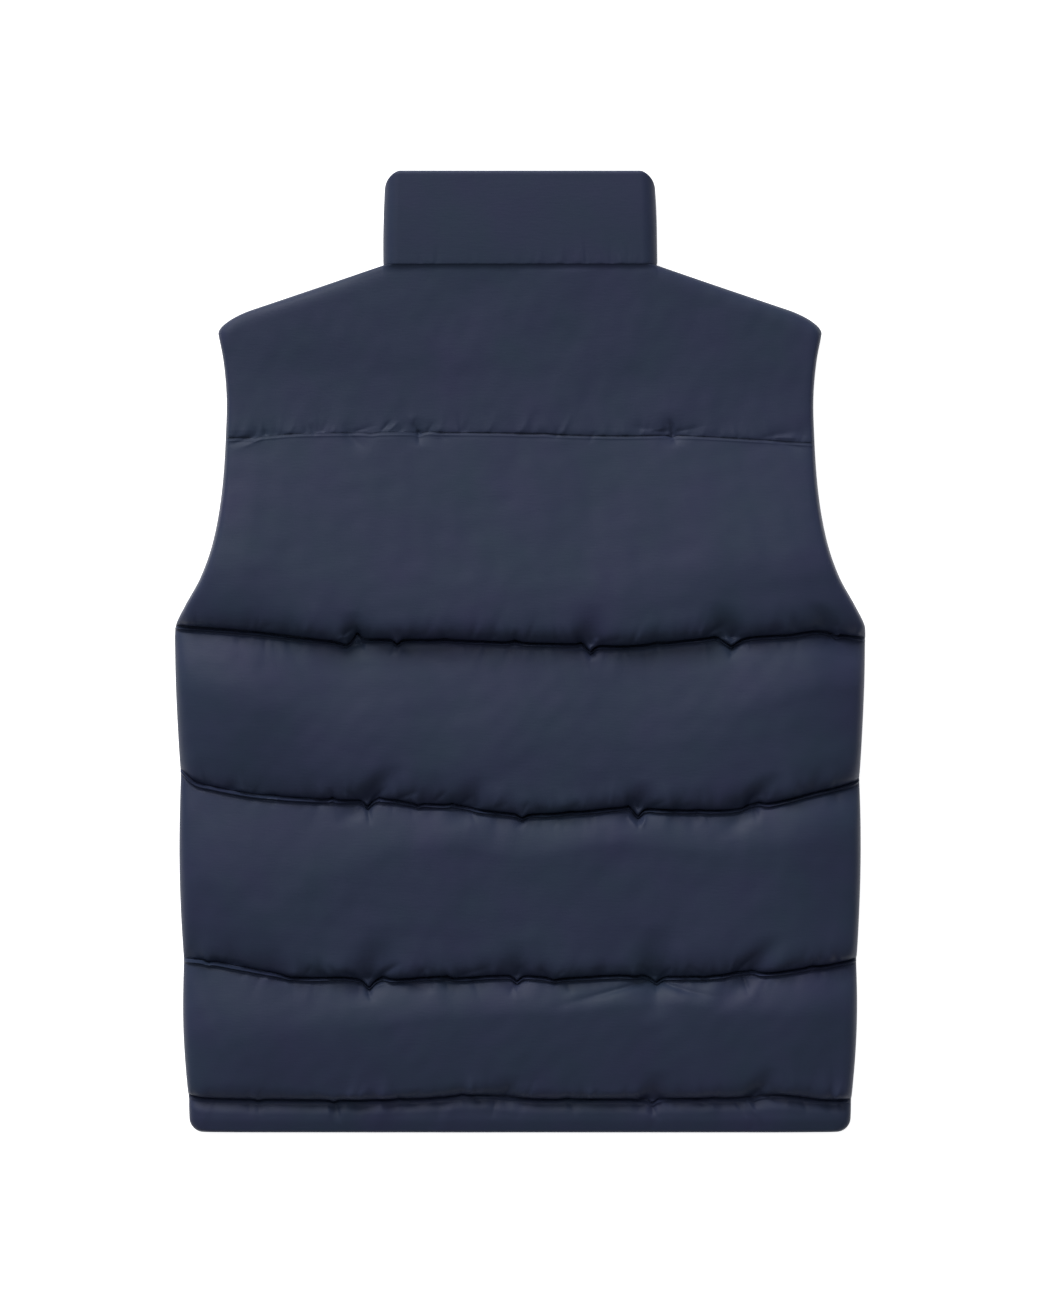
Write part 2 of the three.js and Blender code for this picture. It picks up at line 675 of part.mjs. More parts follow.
/** The hem casing of one front. */
function frontHem(side) {
  const mirrored = { low: hemEdges.low, high: (across) => hemEdges.high(side * across) };
  const thicknessAt = (x, y, v) => FRONT_HEM_THICK - FRONT_HEM_FALL.drop * v ** FRONT_HEM_FALL.power;
  const sections = frontColumns().map((column) =>
    frontSection(column, mirrored, HEM_ROWS, 1, thicknessAt),
  );
  const label = side < 0 ? "front_left_hem" : "front_right_hem";
  return piece(label, throughSections(onSide(sections, side)), NAVY);
}

/** The stand collar: one band, folded flat at both sides, from the zip round the back to the zip again. */
function collar() {
  const lowZ = COLLAR_LAYER / 2;
  const midZ = LAYER_NECK;
  const radius = midZ - lowZ;
  const recess = COLLAR_LAYER - LAYER_NECK + LAYER_GAP + TAPE_RECESS;
  const turnX = NECK_HALF - radius - COLLAR_LAYER / 2;
  const places = [...FRONT_ZIP_PLACES, ...FRONT_NECK_PLACES.filter((x) => x < turnX), turnX];
  const half = [
    ...places.map((x) => ({ x, z: lowZ, nx: 0, nz: -1, front: true })),
    ...steps(-Math.PI / 2, Math.PI / 2, COLLAR_FOLD_STEPS)
      .slice(1)
      .map((angle) => ({
        x: turnX + radius * Math.cos(angle),
        z: midZ + radius * Math.sin(angle),
        nx: Math.cos(angle),
        nz: Math.sin(angle),
        front: angle < 0,
      })),
  ];
  const back = steps(turnX, -turnX, COLLAR_BACK_STEPS)
    .slice(1, -1)
    .map((x) => ({ x, z: midZ + radius, nx: 0, nz: 1, front: false }));
  const mirrored = [...half].reverse().map((p) => ({ ...p, x: -p.x, nx: -p.nx }));
  const stations = [...half, ...back, ...mirrored];

  // Across the band, from its neck seam (0) to its top (1): how far each face stands from the middle.
  const rows = [
    { up: 0, out: COLLAR_SEAM / 2, in: COLLAR_SEAM / 2 },
    { up: 0.08, out: COLLAR_LAYER / 2, in: COLLAR_LAYER / 2 },
    { up: 0.5, out: COLLAR_LAYER / 2 + COLLAR_CROWN, in: COLLAR_LAYER / 2 },
    { up: 0.93, out: COLLAR_LAYER / 2, in: COLLAR_LAYER / 2 },
    { up: 1, out: COLLAR_LAYER / 4, in: COLLAR_LAYER / 4 },
  ];
  const sections = stations.map(({ x, z, nx, nz, front }) => {
    const base = (front ? frontNeck(x) : NECK_Y) + SEAM_GAP;
    const alongCorner = Math.abs(x) + COLLAR_LAYER / 2 - NECK_HALF + COLLAR_CORNER;
    const nearCorner = clamp(alongCorner, 0, COLLAR_CORNER_MOST);
    const cut = COLLAR_CORNER - Math.sqrt(COLLAR_CORNER ** 2 - nearCorner ** 2);
    const height = COLLAR_HEIGHT - cut * Math.sqrt(Math.abs(nx));
    const tape = front && Math.abs(x) <= TAPE_ROOM + 1e-6 ? recess : 0;
    const at = (row, offset) => {
      const lean = -Math.sign(x) * COLLAR_TOP_IN * row.up * Math.min(1, Math.abs(x) / NECK_HALF);
      const low = front && nx === 0 ? 0 : -Infinity;
      return new THREE.Vector3(
        x + nx * offset + lean,
        base + height * row.up,
        Math.max(low, z + nz * offset),
      );
    };
    return {
      outer: rows.map((row) => at(row, row.out)),
      inner: rows.map((row) => at(row, Math.min(0, tape - row.in))),
    };
  });
  return piece("collar", throughSections(sections), NAVY);
}

/** A flat strip along the middle of the front, "under" the parting surface and "thick" deep. */
function zipStrip(name, half, under, thick, from, to, finish) {
  const stretch = 24;
  const heights = steps(from, to, Math.round((to - from) / stretch));
  const sections = heights.map((y) => {
    const z = parting(0, y) - under;
    const row = (height) => [-half, half].map((x) => new THREE.Vector3(x, y, height));
    return { outer: row(z - thick), inner: row(z) };
  });
  return piece(name, throughSections(sections), finish);
}

/** A geometry as a solid that can be joined or cut. */
function solidFrom(wasm, geometry) {
  const { array } = geometry.getAttribute("position");
  const seen = new Map();
  const points = [];
  const corners = [];
  for (let k = 0; k < array.length; k += 3) {
    const place = [array[k], array[k + 1], array[k + 2]];
    const key = place.map((value) => value.toFixed(4)).join(",");
    if (!seen.has(key)) seen.set(key, points.push(place) - 1);
    corners.push(seen.get(key));
  }
  return new wasm.Manifold(
    new wasm.Mesh({
      numProp: 3,
      vertProperties: new Float32Array(points.flat()),
      triVerts: new Uint32Array(corners),
    }),
  );
}

/** A solid back as a geometry. */
function geometryFrom(solid) {
  const { vertProperties, triVerts } = solid.getMesh();
  const geometry = new THREE.BufferGeometry();
  geometry.setAttribute("position", new THREE.Float32BufferAttribute(vertProperties, 3));
  geometry.setIndex([...triVerts]);
  geometry.computeVertexNormals();
  return geometry;
}

/** An outline in the XY plane with its corners rounded. */
function roundedOutline(shape, left, bottom, right, top, radius) {
  shape.moveTo(left + radius, bottom);
  shape.lineTo(right - radius, bottom);
  shape.absarc(right - radius, bottom + radius, radius, -Math.PI / 2, 0);
  shape.lineTo(right, top - radius);
  shape.absarc(right - radius, top - radius, radius, 0, Math.PI / 2);
  shape.lineTo(left + radius, top);
  shape.absarc(left + radius, top - radius, radius, Math.PI / 2, Math.PI);
  shape.lineTo(left, bottom + radius);
  shape.absarc(left + radius, bottom + radius, radius, Math.PI, 1.5 * Math.PI);
  return shape;
}

const UNDER_TAPE = LAYER_GAP + SEAM_GAP / 2 + TAPE_THICK; // from the parting surface to the tape's outer face
const sliderFace = LAYER_NECK - UNDER_TAPE - SEAM_GAP - SLIDER.thick;
const pullAxis = {
  y: SLIDER.y + BRIDGE.low + BRIDGE.leg + PULL_AXIS_FROM_LEG,
  z: sliderFace - (BRIDGE.drop - BRIDGE.bar) / 2,
};
const pullTilt = Math.asin((pullAxis.z - PULL.thick / 2) / PULL.length); // its tip hangs to the surface

/** The zip slider, with the bridge that its pull hangs from. */
function slider(wasm) {
  const plate = roundedOutline(
    new THREE.Shape(), -SLIDER.half, SLIDER.y, SLIDER.half, SLIDER.y + SLIDER.length, SLIDER.corner,
  );
  const body = new THREE.ExtrudeGeometry(plate, {
    depth: SLIDER.thick,
    bevelEnabled: false,
    curveSegments: 4,
  }).translate(0, 0, sliderFace);
  const from = SLIDER.y + BRIDGE.low;
  const to = from + BRIDGE.length;
  const low = sliderFace - BRIDGE.drop;
  const overlap = 0.4;
  const arch = new THREE.Shape();
  arch.moveTo(from, sliderFace + overlap);
  arch.lineTo(from, low);
  arch.lineTo(to, low);
  arch.lineTo(to, sliderFace + overlap);
  arch.lineTo(to - BRIDGE.leg, sliderFace + overlap);
  arch.lineTo(to - BRIDGE.leg, low + BRIDGE.bar);
  arch.lineTo(from + BRIDGE.leg, low + BRIDGE.bar);
  arch.lineTo(from + BRIDGE.leg, sliderFace + overlap);
  const bridge = new THREE.ExtrudeGeometry(arch, { depth: 2 * BRIDGE.half, bevelEnabled: false });
  const turned = new THREE.Matrix4().makeBasis(
    new THREE.Vector3(0, 1, 0),
    new THREE.Vector3(0, 0, 1),
    new THREE.Vector3(1, 0, 0),
  );
  bridge.applyMatrix4(turned).translate(-BRIDGE.half, 0, 0);
  const joined = solidFrom(wasm, body).add(solidFrom(wasm, bridge));
  return piece("zip_slider", geometryFrom(joined), DARK_METAL);
}

/** The pull tab, which swings about the bar at its eye. */
function pull() {
  const outline = roundedOutline(
    new THREE.Shape(), -PULL.half, -PULL.length, PULL.half, PULL.bar / 2, PULL.corner,
  );
  const slot = new THREE.Path();
  const slotTop = -PULL.bar / 2;
  slot.moveTo(-PULL.slotHalf, slotTop);
  slot.lineTo(-PULL.slotHalf, slotTop - PULL.slotLength);
  slot.lineTo(PULL.slotHalf, slotTop - PULL.slotLength);
  slot.lineTo(PULL.slotHalf, slotTop);
  outline.holes.push(slot);
  const geometry = new THREE.ExtrudeGeometry(outline, {
    depth: PULL.thick,
    bevelEnabled: false,
    curveSegments: 4,
  }).translate(0, 0, -PULL.thick / 2);
  const mesh = piece("zip_pull", geometry, DARK_METAL);
  mesh.position.set(0, pullAxis.y, pullAxis.z);
  mesh.rotation.x = pullTilt;
  return mesh;
}

/** The box at the foot of the zip. */
function zipBox() {
  const from = HEM_Y + BOX_FROM_HEM;
  const bottom = parting(0, from) - UNDER_TAPE - SEAM_GAP - ZIP_BOX.thick;
  const plate = roundedOutline(
    new THREE.Shape(), -ZIP_BOX.half, from, ZIP_BOX.half, from + ZIP_BOX.height, ZIP_BOX.corner,
  );
  const geometry = new THREE.ExtrudeGeometry(plate, {
    depth: ZIP_BOX.thick,
    bevelEnabled: false,
    curveSegments: 3,
  }).translate(0, 0, bottom);
  return piece("zip_box", geometry, DARK_METAL);
}

const wasm = await Module();
wasm.setup();

const vest = new THREE.Group();
BAFFLES.forEach((_, k) => vest.add(backBaffle(k), frontBaffle(k, -1), frontBaffle(k, 1)));
vest.add(backHem(), frontHem(-1), frontHem(1), collar());
vest.add(
  zipStrip(
    "zip_tape", TAPE_HALF, LAYER_GAP + SEAM_GAP / 2, TAPE_THICK, HEM_Y + TAPE_FROM_HEM, TAPE_TOP_Y,
    NAVY_TRIM,
  ),
  zipStrip(
    "zip_chain", CHAIN_HALF, UNDER_TAPE + SEAM_GAP, CHAIN_THICK,
    HEM_Y + BOX_FROM_HEM + ZIP_BOX.height + SEAM_GAP, SLIDER.y - SEAM_GAP, NAVY_TRIM,
  ),
  zipBox(),
  slider(wasm),
  pull(),
);

export default vest;
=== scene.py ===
"""Dresses the padded vest in its cloth. It lies on its zipped front on a pale floor, seen from above."""

import logging
import math
from dataclasses import dataclass
from enum import Enum
from functools import partial
from typing import Callable

import bmesh
import bpy
import numpy as np
from mathutils import Matrix, Vector


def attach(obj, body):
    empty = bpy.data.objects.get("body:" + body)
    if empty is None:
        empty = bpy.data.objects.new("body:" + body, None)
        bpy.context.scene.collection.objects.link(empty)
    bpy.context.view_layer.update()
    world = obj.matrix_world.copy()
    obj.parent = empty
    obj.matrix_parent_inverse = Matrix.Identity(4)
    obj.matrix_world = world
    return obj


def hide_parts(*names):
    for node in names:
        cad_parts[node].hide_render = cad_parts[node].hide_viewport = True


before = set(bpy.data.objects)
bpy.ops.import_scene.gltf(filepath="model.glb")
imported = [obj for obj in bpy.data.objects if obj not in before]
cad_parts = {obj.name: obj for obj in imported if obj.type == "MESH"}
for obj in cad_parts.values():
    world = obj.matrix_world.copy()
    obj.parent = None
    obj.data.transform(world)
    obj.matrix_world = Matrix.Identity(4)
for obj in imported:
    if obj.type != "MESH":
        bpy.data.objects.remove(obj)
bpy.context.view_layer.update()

Real = float | np.ndarray
Piece = bpy.types.Object
Material = bpy.types.Material
Socket = bpy.types.NodeSocket
Shape = bmesh.types.BMesh
Vert, Edge, Face = bmesh.types.BMVert, bmesh.types.BMEdge, bmesh.types.BMFace
Colour = tuple[float, float, float]
Span = tuple[float, float]
Places = tuple[Real, Real, Real]
Placing = Callable[[Real, Real, Real], Places]

MM = 0.001
PHOTO_SIZE = (1040, 1300)
PHOTO_MM_PER_PIXEL = 0.83
SHARP_ANGLE = math.radians(65.0)
NOTCH_POWER = 1.5
GATHER_POWER = 1.5
LEVEL = 1e-6
TURNED = 1.0

log = logging.getLogger("vest")


# Curves and blends


def unit(value: Real) -> Real:
    """The value, held between 0 and 1."""
    return np.clip(value, 0.0, 1.0)


def lerp(start: Real, end: Real, share: Real) -> Real:
    """A value on the way from start to end."""
    return start + (end - start) * share


def smoothstep(value: Real, low: float, high: float) -> Real:
    """0 up to low, 1 from high on, and a soft rise between them."""
    t = unit((value - low) / (high - low))
    return t * t * (3.0 - 2.0 * t)


def bump(inside: Real, width: Real) -> Real:
    """0 at an edge and 1 from width inwards, with a level top."""
    return 1.0 - (1.0 - unit(inside / width)) ** 2


def round_over(inside: Real, width: Real) -> Real:
    """The same as bump, with a steep and round edge."""
    return np.sqrt(bump(inside, width))


def shoulder(inside: Real, width: Real, sharp: float = 3.0) -> Real:
    """A padded edge: near the seam it turns down sharply, and the wider it is the rounder."""
    power = lerp(sharp, 2.0, smoothstep(width, 25.0, 60.0))
    return (1.0 - (1.0 - unit(inside / width)) ** power) ** (1.0 / power)


def crowded(up: Real, ends: float = 0.25) -> Real:
    """Spaces rows so that they stand closer at both ends than in the middle."""
    return ends * up + (1.0 - ends) * (up - np.sin(2.0 * math.pi * up) / (2.0 * math.pi))


def swell(below: Real, reach: Real, toe: float) -> Real:
    """A rise that starts softly within toe, keeps its slope and then levels out at reach."""
    eased = below * below / (below + toe)
    return np.sin(0.5 * math.pi * unit(eased / (reach - toe)))


def ramp(below: Real, reach: Real, straight: float) -> Real:
    """A rise that is straight for a share of its reach and then levels out."""
    t = unit(below / reach)
    return np.where(t < straight, 2.0 * t / (1.0 + straight), 1.0 - (1.0 - t) ** 2 / (1.0 - straight**2))


def settle(below: Real, reach: Real, power: float) -> Real:
    """A rise that is steep at a seam and level from reach on."""
    return 1.0 - (1.0 - unit(below / reach)) ** power


def hill(distance: Real, half: Real) -> Real:
    """A round hill of height 1."""
    return np.exp(-((distance / half) ** 2))


@dataclass(frozen=True)
class Course:
    """A smooth curve through places, each a pair of where and how much."""

    places: tuple[tuple[float, float], ...]

    def at(self, wanted: Real) -> Real:
        """Reads the curve.

        Args:
            wanted: where to read it; beyond its ends the curve is level.

        Returns:
            The curve's value at each wanted place.
        """
        table = np.array(sorted(self.places), dtype=float)
        keys, values = table[:, 0], table[:, 1]
        ahead = np.minimum(np.arange(len(keys)) + 1, len(keys) - 1)
        behind = np.maximum(np.arange(len(keys)) - 1, 0)
        slopes = (values[ahead] - values[behind]) / (keys[ahead] - keys[behind])
        place = np.clip(wanted, keys[0], keys[-1])
        k = np.clip(np.searchsorted(keys, place), 1, len(keys) - 1)
        span = keys[k] - keys[k - 1]
        t = (place - keys[k - 1]) / span
        from_start = 2 * t**3 - 3 * t**2 + 1
        leave = t**3 - 2 * t**2 + t
        arrive = t**3 - t**2
        return (
            from_start * values[k - 1]
            + (1.0 - from_start) * values[k]
            + span * (leave * slopes[k - 1] + arrive * slopes[k])
        )


# The cut of the vest


class Side(Enum):
    """The two fronts, named as the wearer would."""

    LEFT = -1
    RIGHT = 1


@dataclass(frozen=True)
class Cut:
    """The cut laid flat, and the heights at which its layers part. Every size is in millimetres."""

    hem_y: float = -398.4
    top_y: float = 398.4
    chest_half: float = 286.4
    shoulder_half: float = 250.4
    shoulder_tip_y: float = 263.5
    neck_half: float = 113.7
    neck_y: float = 320.3
    shoulder_fall: float = 0.338
    tip_round: float = 28.0
    tip_drop: float = 10.0
    hem_corner: float = 11.0
    front_armhole_inset: float = 9.0
    front_neck_drop: float = 58.0
    zip_edge: float = 5.2
    front_neck_inset: float = 6.0
    front_neck_curve: float = 2.2

    layer_middle: float = 20.0
    layer_edge: float = 9.0
    layer_neck: float = 12.3
    side_fade: float = 70.0
    hem_fade: float = 110.0
    neck_fade: float = 60.0
    neck_rise: Span = (100.0, 250.0)
    chest_from: float = 210.0
    chest_over: float = 150.0
    layer_gap: float = 0.45
    edge_gap: float = 0.15
    seam_gap: float = 0.3
    gap_fade: float = 30.0
    stitch_gap: float = 0.02

    closed_edge: float = 1.2
    open_edge: float = 6.5
    round_side: float = 17.0
    round_open: float = 14.0
    side_sharp: float = 4.0
    edge_roll: float = 4.0
    roll_loss: float = 0.45
    opens_over: float = 26.0
    closes_over: float = 22.0

    side_strip: float = 24.0
    side_share: float = 0.8625
    side_crowding: float = 1.7
    front_strip: float = 36.0
    front_share: float = 0.8
    front_crowding: float = 1.6

    underarm_y: float = 13.0
    armhole: Course = Course((
        (13, 286.4), (22, 285.4), (37, 278), (62, 264.2), (92, 254),
        (134, 247), (190, 243.6), (215, 243.6), (242, 246.2), (263.5, 250.4),
    ))
    side_seam: tuple[tuple[float, float, float], ...] = (
        (13, 286.4, 0.6), (-103, 281.4, 2.0), (-256.3, 278.9, 2.2), (-371, 274.7, 0.3), (-398.4, 273.4, 0.0),
    )

    def half_width(self, y: Real) -> Real:
        """Half the width of the back at height y."""
        y = np.maximum(y, self.hem_y)
        width = self.armhole.at(y)
        for (high, wide, bulge), (low, narrow, _) in zip(self.side_seam, self.side_seam[1:]):
            t = (high - y) / (high - low)
            here = lerp(wide, narrow, t) + bulge * np.sin(math.pi * unit(t))
            width = np.where(y < high, here, width)
        corner = np.maximum(0.0, self.hem_corner - (y - self.hem_y))
        return width - (self.hem_corner - np.sqrt(self.hem_corner**2 - corner**2))

    def front_inset(self, y: Real) -> Real:
        """How much deeper the front is cut at the armhole."""
        t = unit((y - self.underarm_y) / (self.shoulder_tip_y - self.underarm_y))
        return self.front_armhole_inset * np.sin(math.pi * t)

    def back_top(self, x: Real) -> Real:
        """Top edge of the back: the neck seam, and the shoulder seam down to its rounded tip."""
        out = np.abs(x) - self.neck_half
        t = unit((np.abs(x) - self.shoulder_half + self.tip_round) / self.tip_round)
        fall = self.shoulder_fall * out + self.tip_drop * (1.0 - np.sqrt(1.0 - t * t))
        return np.where(out <= 0.0, self.neck_y, self.neck_y - fall)

    def front_neck(self, x: Real) -> Real:
        """Neck seam of the front, which dips towards the zip."""
        share = unit(np.abs(x) / (self.neck_half - self.front_neck_inset))
        return self.neck_y - self.front_neck_drop * (1.0 - share**self.front_neck_curve)

    def front_top(self, x: Real) -> Real:
        """Top edge of a front."""
        return np.where(np.abs(x) < self.neck_half, self.front_neck(x), self.back_top(x))

    def parting(self, x: Real, y: Real) -> Real:
        """Height of the surface at which the front and back layers lie on each other."""
        inside = self.half_width(y) - np.abs(x)
        towards_neck = smoothstep(self.neck_half + self.neck_fade - np.abs(x), 0.0, self.neck_fade)
        edge = lerp(self.layer_edge, self.layer_neck, towards_neck * smoothstep(y, *self.neck_rise))
        chest = smoothstep(self.chest_from - y, 0.0, self.chest_over)
        rise = bump(inside, self.side_fade) * bump(y - self.hem_y, self.hem_fade) * chest
        return edge + (self.layer_middle - edge) * rise

    def gap(self, inside: Real) -> Real:
        """From the parting surface to a layer: they close at the side seam."""
        return lerp(self.edge_gap, self.layer_gap, unit(inside / self.gap_fade))

    def rounded(self, thick: Real, inside: Real, y: Real) -> Real:
        """Thickness of a padded layer once it rounds down to its outer edge.

        Args:
            thick: thickness away from the edge.
            inside: distance in from the edge.
            y: height on the body, because the edge is open at the armhole and sewn shut below it.

        Returns:
            The thickness at each point.
        """
        opens = unit((y - self.underarm_y) / self.opens_over)
        share = opens * unit((self.shoulder_tip_y - y) / self.closes_over)
        edge = lerp(self.closed_edge, self.open_edge, share)
        width = lerp(self.round_side, self.round_open, share)
        full = edge + (np.maximum(thick, edge) - edge) * shoulder(inside, width, self.side_sharp)
        return full * (1.0 - self.roll_loss * share * (1.0 - round_over(inside, self.edge_roll)))

    def column(self, across: Real, y: Real) -> Real:
        """Where a column of points stands at height y: columns crowd together towards the sides."""
        half = self.half_width(y)
        size = np.abs(across)
        left_over = unit((1.0 - size) / (1.0 - self.side_share))
        outer = half - self.side_strip * left_over**self.side_crowding
        inner = (half - self.side_strip) * size / self.side_share
        return np.sign(across) * np.where(size > self.side_share, outer, inner)

    def front_column(self, across: Real, y: Real) -> Real:
        """The same for a front, from its zip edge at 0 to its side at 1."""
        half = self.half_width(y) - self.front_inset(y)
        left_over = unit((1.0 - across) / (1.0 - self.front_share))
        outer = half - self.front_strip * left_over**self.front_crowding
        inner = lerp(self.zip_edge, half - self.front_strip, unit(across / self.front_share))
        return np.where(across > self.front_share, outer, inner)


@dataclass(frozen=True)
class Seam:
    """A quilting seam across the vest.

    Each notch pulls it out of line: its x, how far up or down, and half its width.
    """

    thick: float
    side_y: float
    route: Course
    notches: tuple[tuple[float, float, float], ...] = ()
    relief: float = 1.0

    def at(self, x: Real) -> Real:
        """Height of the seam at x."""
        y = self.route.at(x)
        for middle, pull, half in self.notches:
            y = y + pull * np.exp(-np.abs((x - middle) / half) ** NOTCH_POWER)
        return y


SEAMS = (
    Seam(15.0, 174.0, Course((
        (-244, 176.5), (-220, 177.5), (-184.3, 180.3), (-146.1, 181), (-116.2, 181.5), (-16.6, 181.1),
        (33.2, 179.5), (83, 178.6), (129.5, 179), (195, 175.7), (244, 172.4),
    )), (
        (-219, -1.6, 3), (-84, -1.8, 2.5), (-74, 1, 4), (126, -1.6, 2.5), (-123, -1.2, 6), (20, 0.7, 7),
    ), 0.08),
    Seam(9.5, 17.0, Course((
        (-285.5, 21.9), (-220, 16.9), (-146.9, 8.6), (-129.5, 10.4), (-107.9, 10.7), (-53.1, 9.9),
        (-6.6, 7.9), (10.8, 7.4), (47.3, 6.6), (83, 4.9), (110.4, 7), (155.2, 11.5), (187.6, 12.5),
        (221.6, 14.4), (245.7, 17.4), (260.6, 15.1), (285.5, 11.5),
    )), (
        (-143.5, -2.6, 5), (-134.5, 6.5, 3.6), (-101.3, -4, 3), (-4, 2, 4.5), (50.5, 1.6, 3),
        (58.1, -5.6, 4), (174.3, -7.2, 7.5), (161, 1.6, 5), (261, -2, 3), (-62, 1, 6), (113, 0.9, 6),
    )),
    Seam(10.2, -102.4, Course((
        (-281.4, -96.6), (-269.8, -107), (-257.3, -110.7), (-214.1, -118.2), (-164.3, -121.5),
        (-135.3, -122.3), (-107.9, -121.5), (-88, -124.5), (-67.2, -125.6), (-44.8, -127.3), (-34, -129.8),
        (-2.5, -133.1), (24.1, -133.1), (57.3, -130.6), (83, -128.1), (117, -129.8), (151.9, -130.6),
        (179.3, -129.4), (190.1, -126), (206.7, -124.6), (238.2, -117), (275.6, -108), (281.4, -104.1),
    )), (
        (-154.4, 1.6, 3), (-125.3, -5.6, 3.6), (-116, 1.2, 3), (-84, -1.4, 3), (-56, 1.3, 4),
        (1.7, -3.4, 3.6), (97, -7, 3.8), (89, 1.8, 3), (197, 1.4, 4), (-204, 0.8, 6), (40, 0.8, 5),
        (146, 0.7, 5),
    )),
    Seam(8.6, -253.9, Course((
        (-278.9, -253.9), (-259, -255.1), (-232.4, -259.7), (-201.7, -265.1), (-176.8, -268.4),
        (-145.3, -268.1), (-132, -269.6), (-99.6, -269.6), (-68.1, -267.6), (-52.3, -268.9), (-21.6, -266.9),
        (10.8, -267.3), (29.9, -268.9), (50.6, -268), (83, -266.4), (99.6, -267.8), (125.3, -267.8),
        (165.2, -266.4), (177.6, -264.2), (204.2, -264.6), (234.1, -260.9), (262.3, -256.8), (278.9, -253.5),
    )), (
        (-258, -1.4, 3), (-124.5, -7, 4.6), (-113, 2, 4), (-60, 1.2, 3.4), (-2.5, -5, 3.6), (28, -1.4, 4),
        (112.6, -4.8, 4.4), (101, 1.4, 4), (-190, -1.2, 6), (191, 1.6, 5), (152, -0.8, 5), (240, 1, 4),
    )),
    Seam(9.0, -368.3, Course((
        (-273.9, -366.7), (-261.5, -368.7), (-205.8, -369.4), (-127.8, -369.9), (-83, -368.7),
        (-66.4, -367.6), (-33.2, -365.7), (-6.6, -367.6), (19.1, -369.2), (85.5, -369), (102.9, -369.8),
        (122.8, -369), (183.4, -367.9), (215, -365.7), (248.2, -369.6), (273.9, -370.3),
    )), (
        (-216, -1.2, 3), (-154, -1.6, 3), (109.6, -3.4, 3.6), (-48, 1, 4), (-100, 0.9, 4), (38, 0.9, 5),
        (194, -1.6, 3.4), (160, 0.9, 4),
    )),
)


@dataclass(frozen=True)
class Gather:
    """A wide trough where a seam pulls the padding in. It takes a share of the height."""

    seam: int
    x: float
    above: float
    below: float
    half: float
    lean: float
    share: float

    def left(self, x: Real, y: Real) -> Real:
        """Share of the height that this gather leaves."""
        rise = y - SEAMS[self.seam].route.at(self.x)
        reach = np.where(rise > 0.0, self.above, self.below)
        fade = unit(1.0 - np.abs(rise) / reach) ** GATHER_POWER
        return 1.0 - self.share * fade * hill(x - self.x - self.lean * rise, self.half)


GATHERS = (
    Gather(0, -83, 14, 14, 9, -0.3, 0.22), Gather(0, 126, 22, 12, 9, -0.2, 0.26),
    Gather(1, -135, 24, 20, 10, -0.1, 0.40), Gather(1, 55, 34, 16, 11, 0.2, 0.32),
    Gather(1, 173, 30, 18, 13, -0.3, 0.40), Gather(1, 258, 26, 16, 9, -0.5, 0.34),
    Gather(2, -127, 30, 24, 11, 0.8, 0.42), Gather(2, -45, 26, 22, 12, 0.5, 0.28),
    Gather(2, 97, 24, 22, 10, 0.2, 0.36), Gather(2, 190, 28, 30, 10, 0.7, 0.38),
    Gather(3, -124, 46, 24, 15, 0.3, 0.44), Gather(3, -2, 30, 20, 11, 0.0, 0.34),
    Gather(3, 112, 44, 40, 15, 0.0, 0.44), Gather(3, 189, 34, 36, 11, 0.7, 0.38),
    Gather(4, -12, 20, 12, 10, 0.2, 0.24), Gather(4, 109, 26, 18, 13, 0.2, 0.36),
    Gather(4, 193, 26, 18, 11, 0.6, 0.34),
)


@dataclass(frozen=True)
class Fold:
    """A crease or a ridge from a start on a seam to an end in the padding, fading on its way.

    A depth below 0 is a trough and one above 0 a ridge. Bow bends it sideways at its middle.
    """

    x: float
    y: float
    to_x: float
    to_y: float
    half: float
    depth: float
    bow: float = 0.0
    spread: float = 1.6
    lead: float = 0.08
    fade_from: float = 0.25
    blunt: float = 0.35
    steep: float = 0.75

    def height(self, x: Real, y: Real) -> Real:
        """What the fold adds to the cloth's height at each point."""
        along = np.array((self.to_x - self.x, self.to_y - self.y))
        length = float(np.hypot(*along))
        ahead = along / length
        t = ((x - self.x) * ahead[0] + (y - self.y) * ahead[1]) / length
        off = (y - self.y) * ahead[0] - (x - self.x) * ahead[1] - self.bow * 4.0 * t * (1.0 - t)
        width = self.half * lerp(1.0, self.spread, unit(t))
        starts = smoothstep(t, -2.0 * self.half / length, self.lead)
        fade = starts * (1.0 - smoothstep(t, self.fade_from, 1.0))
        blunt = self.blunt * width
        return self.depth * fade * np.exp(-(np.hypot(off, blunt) - blunt) / (self.steep * width))


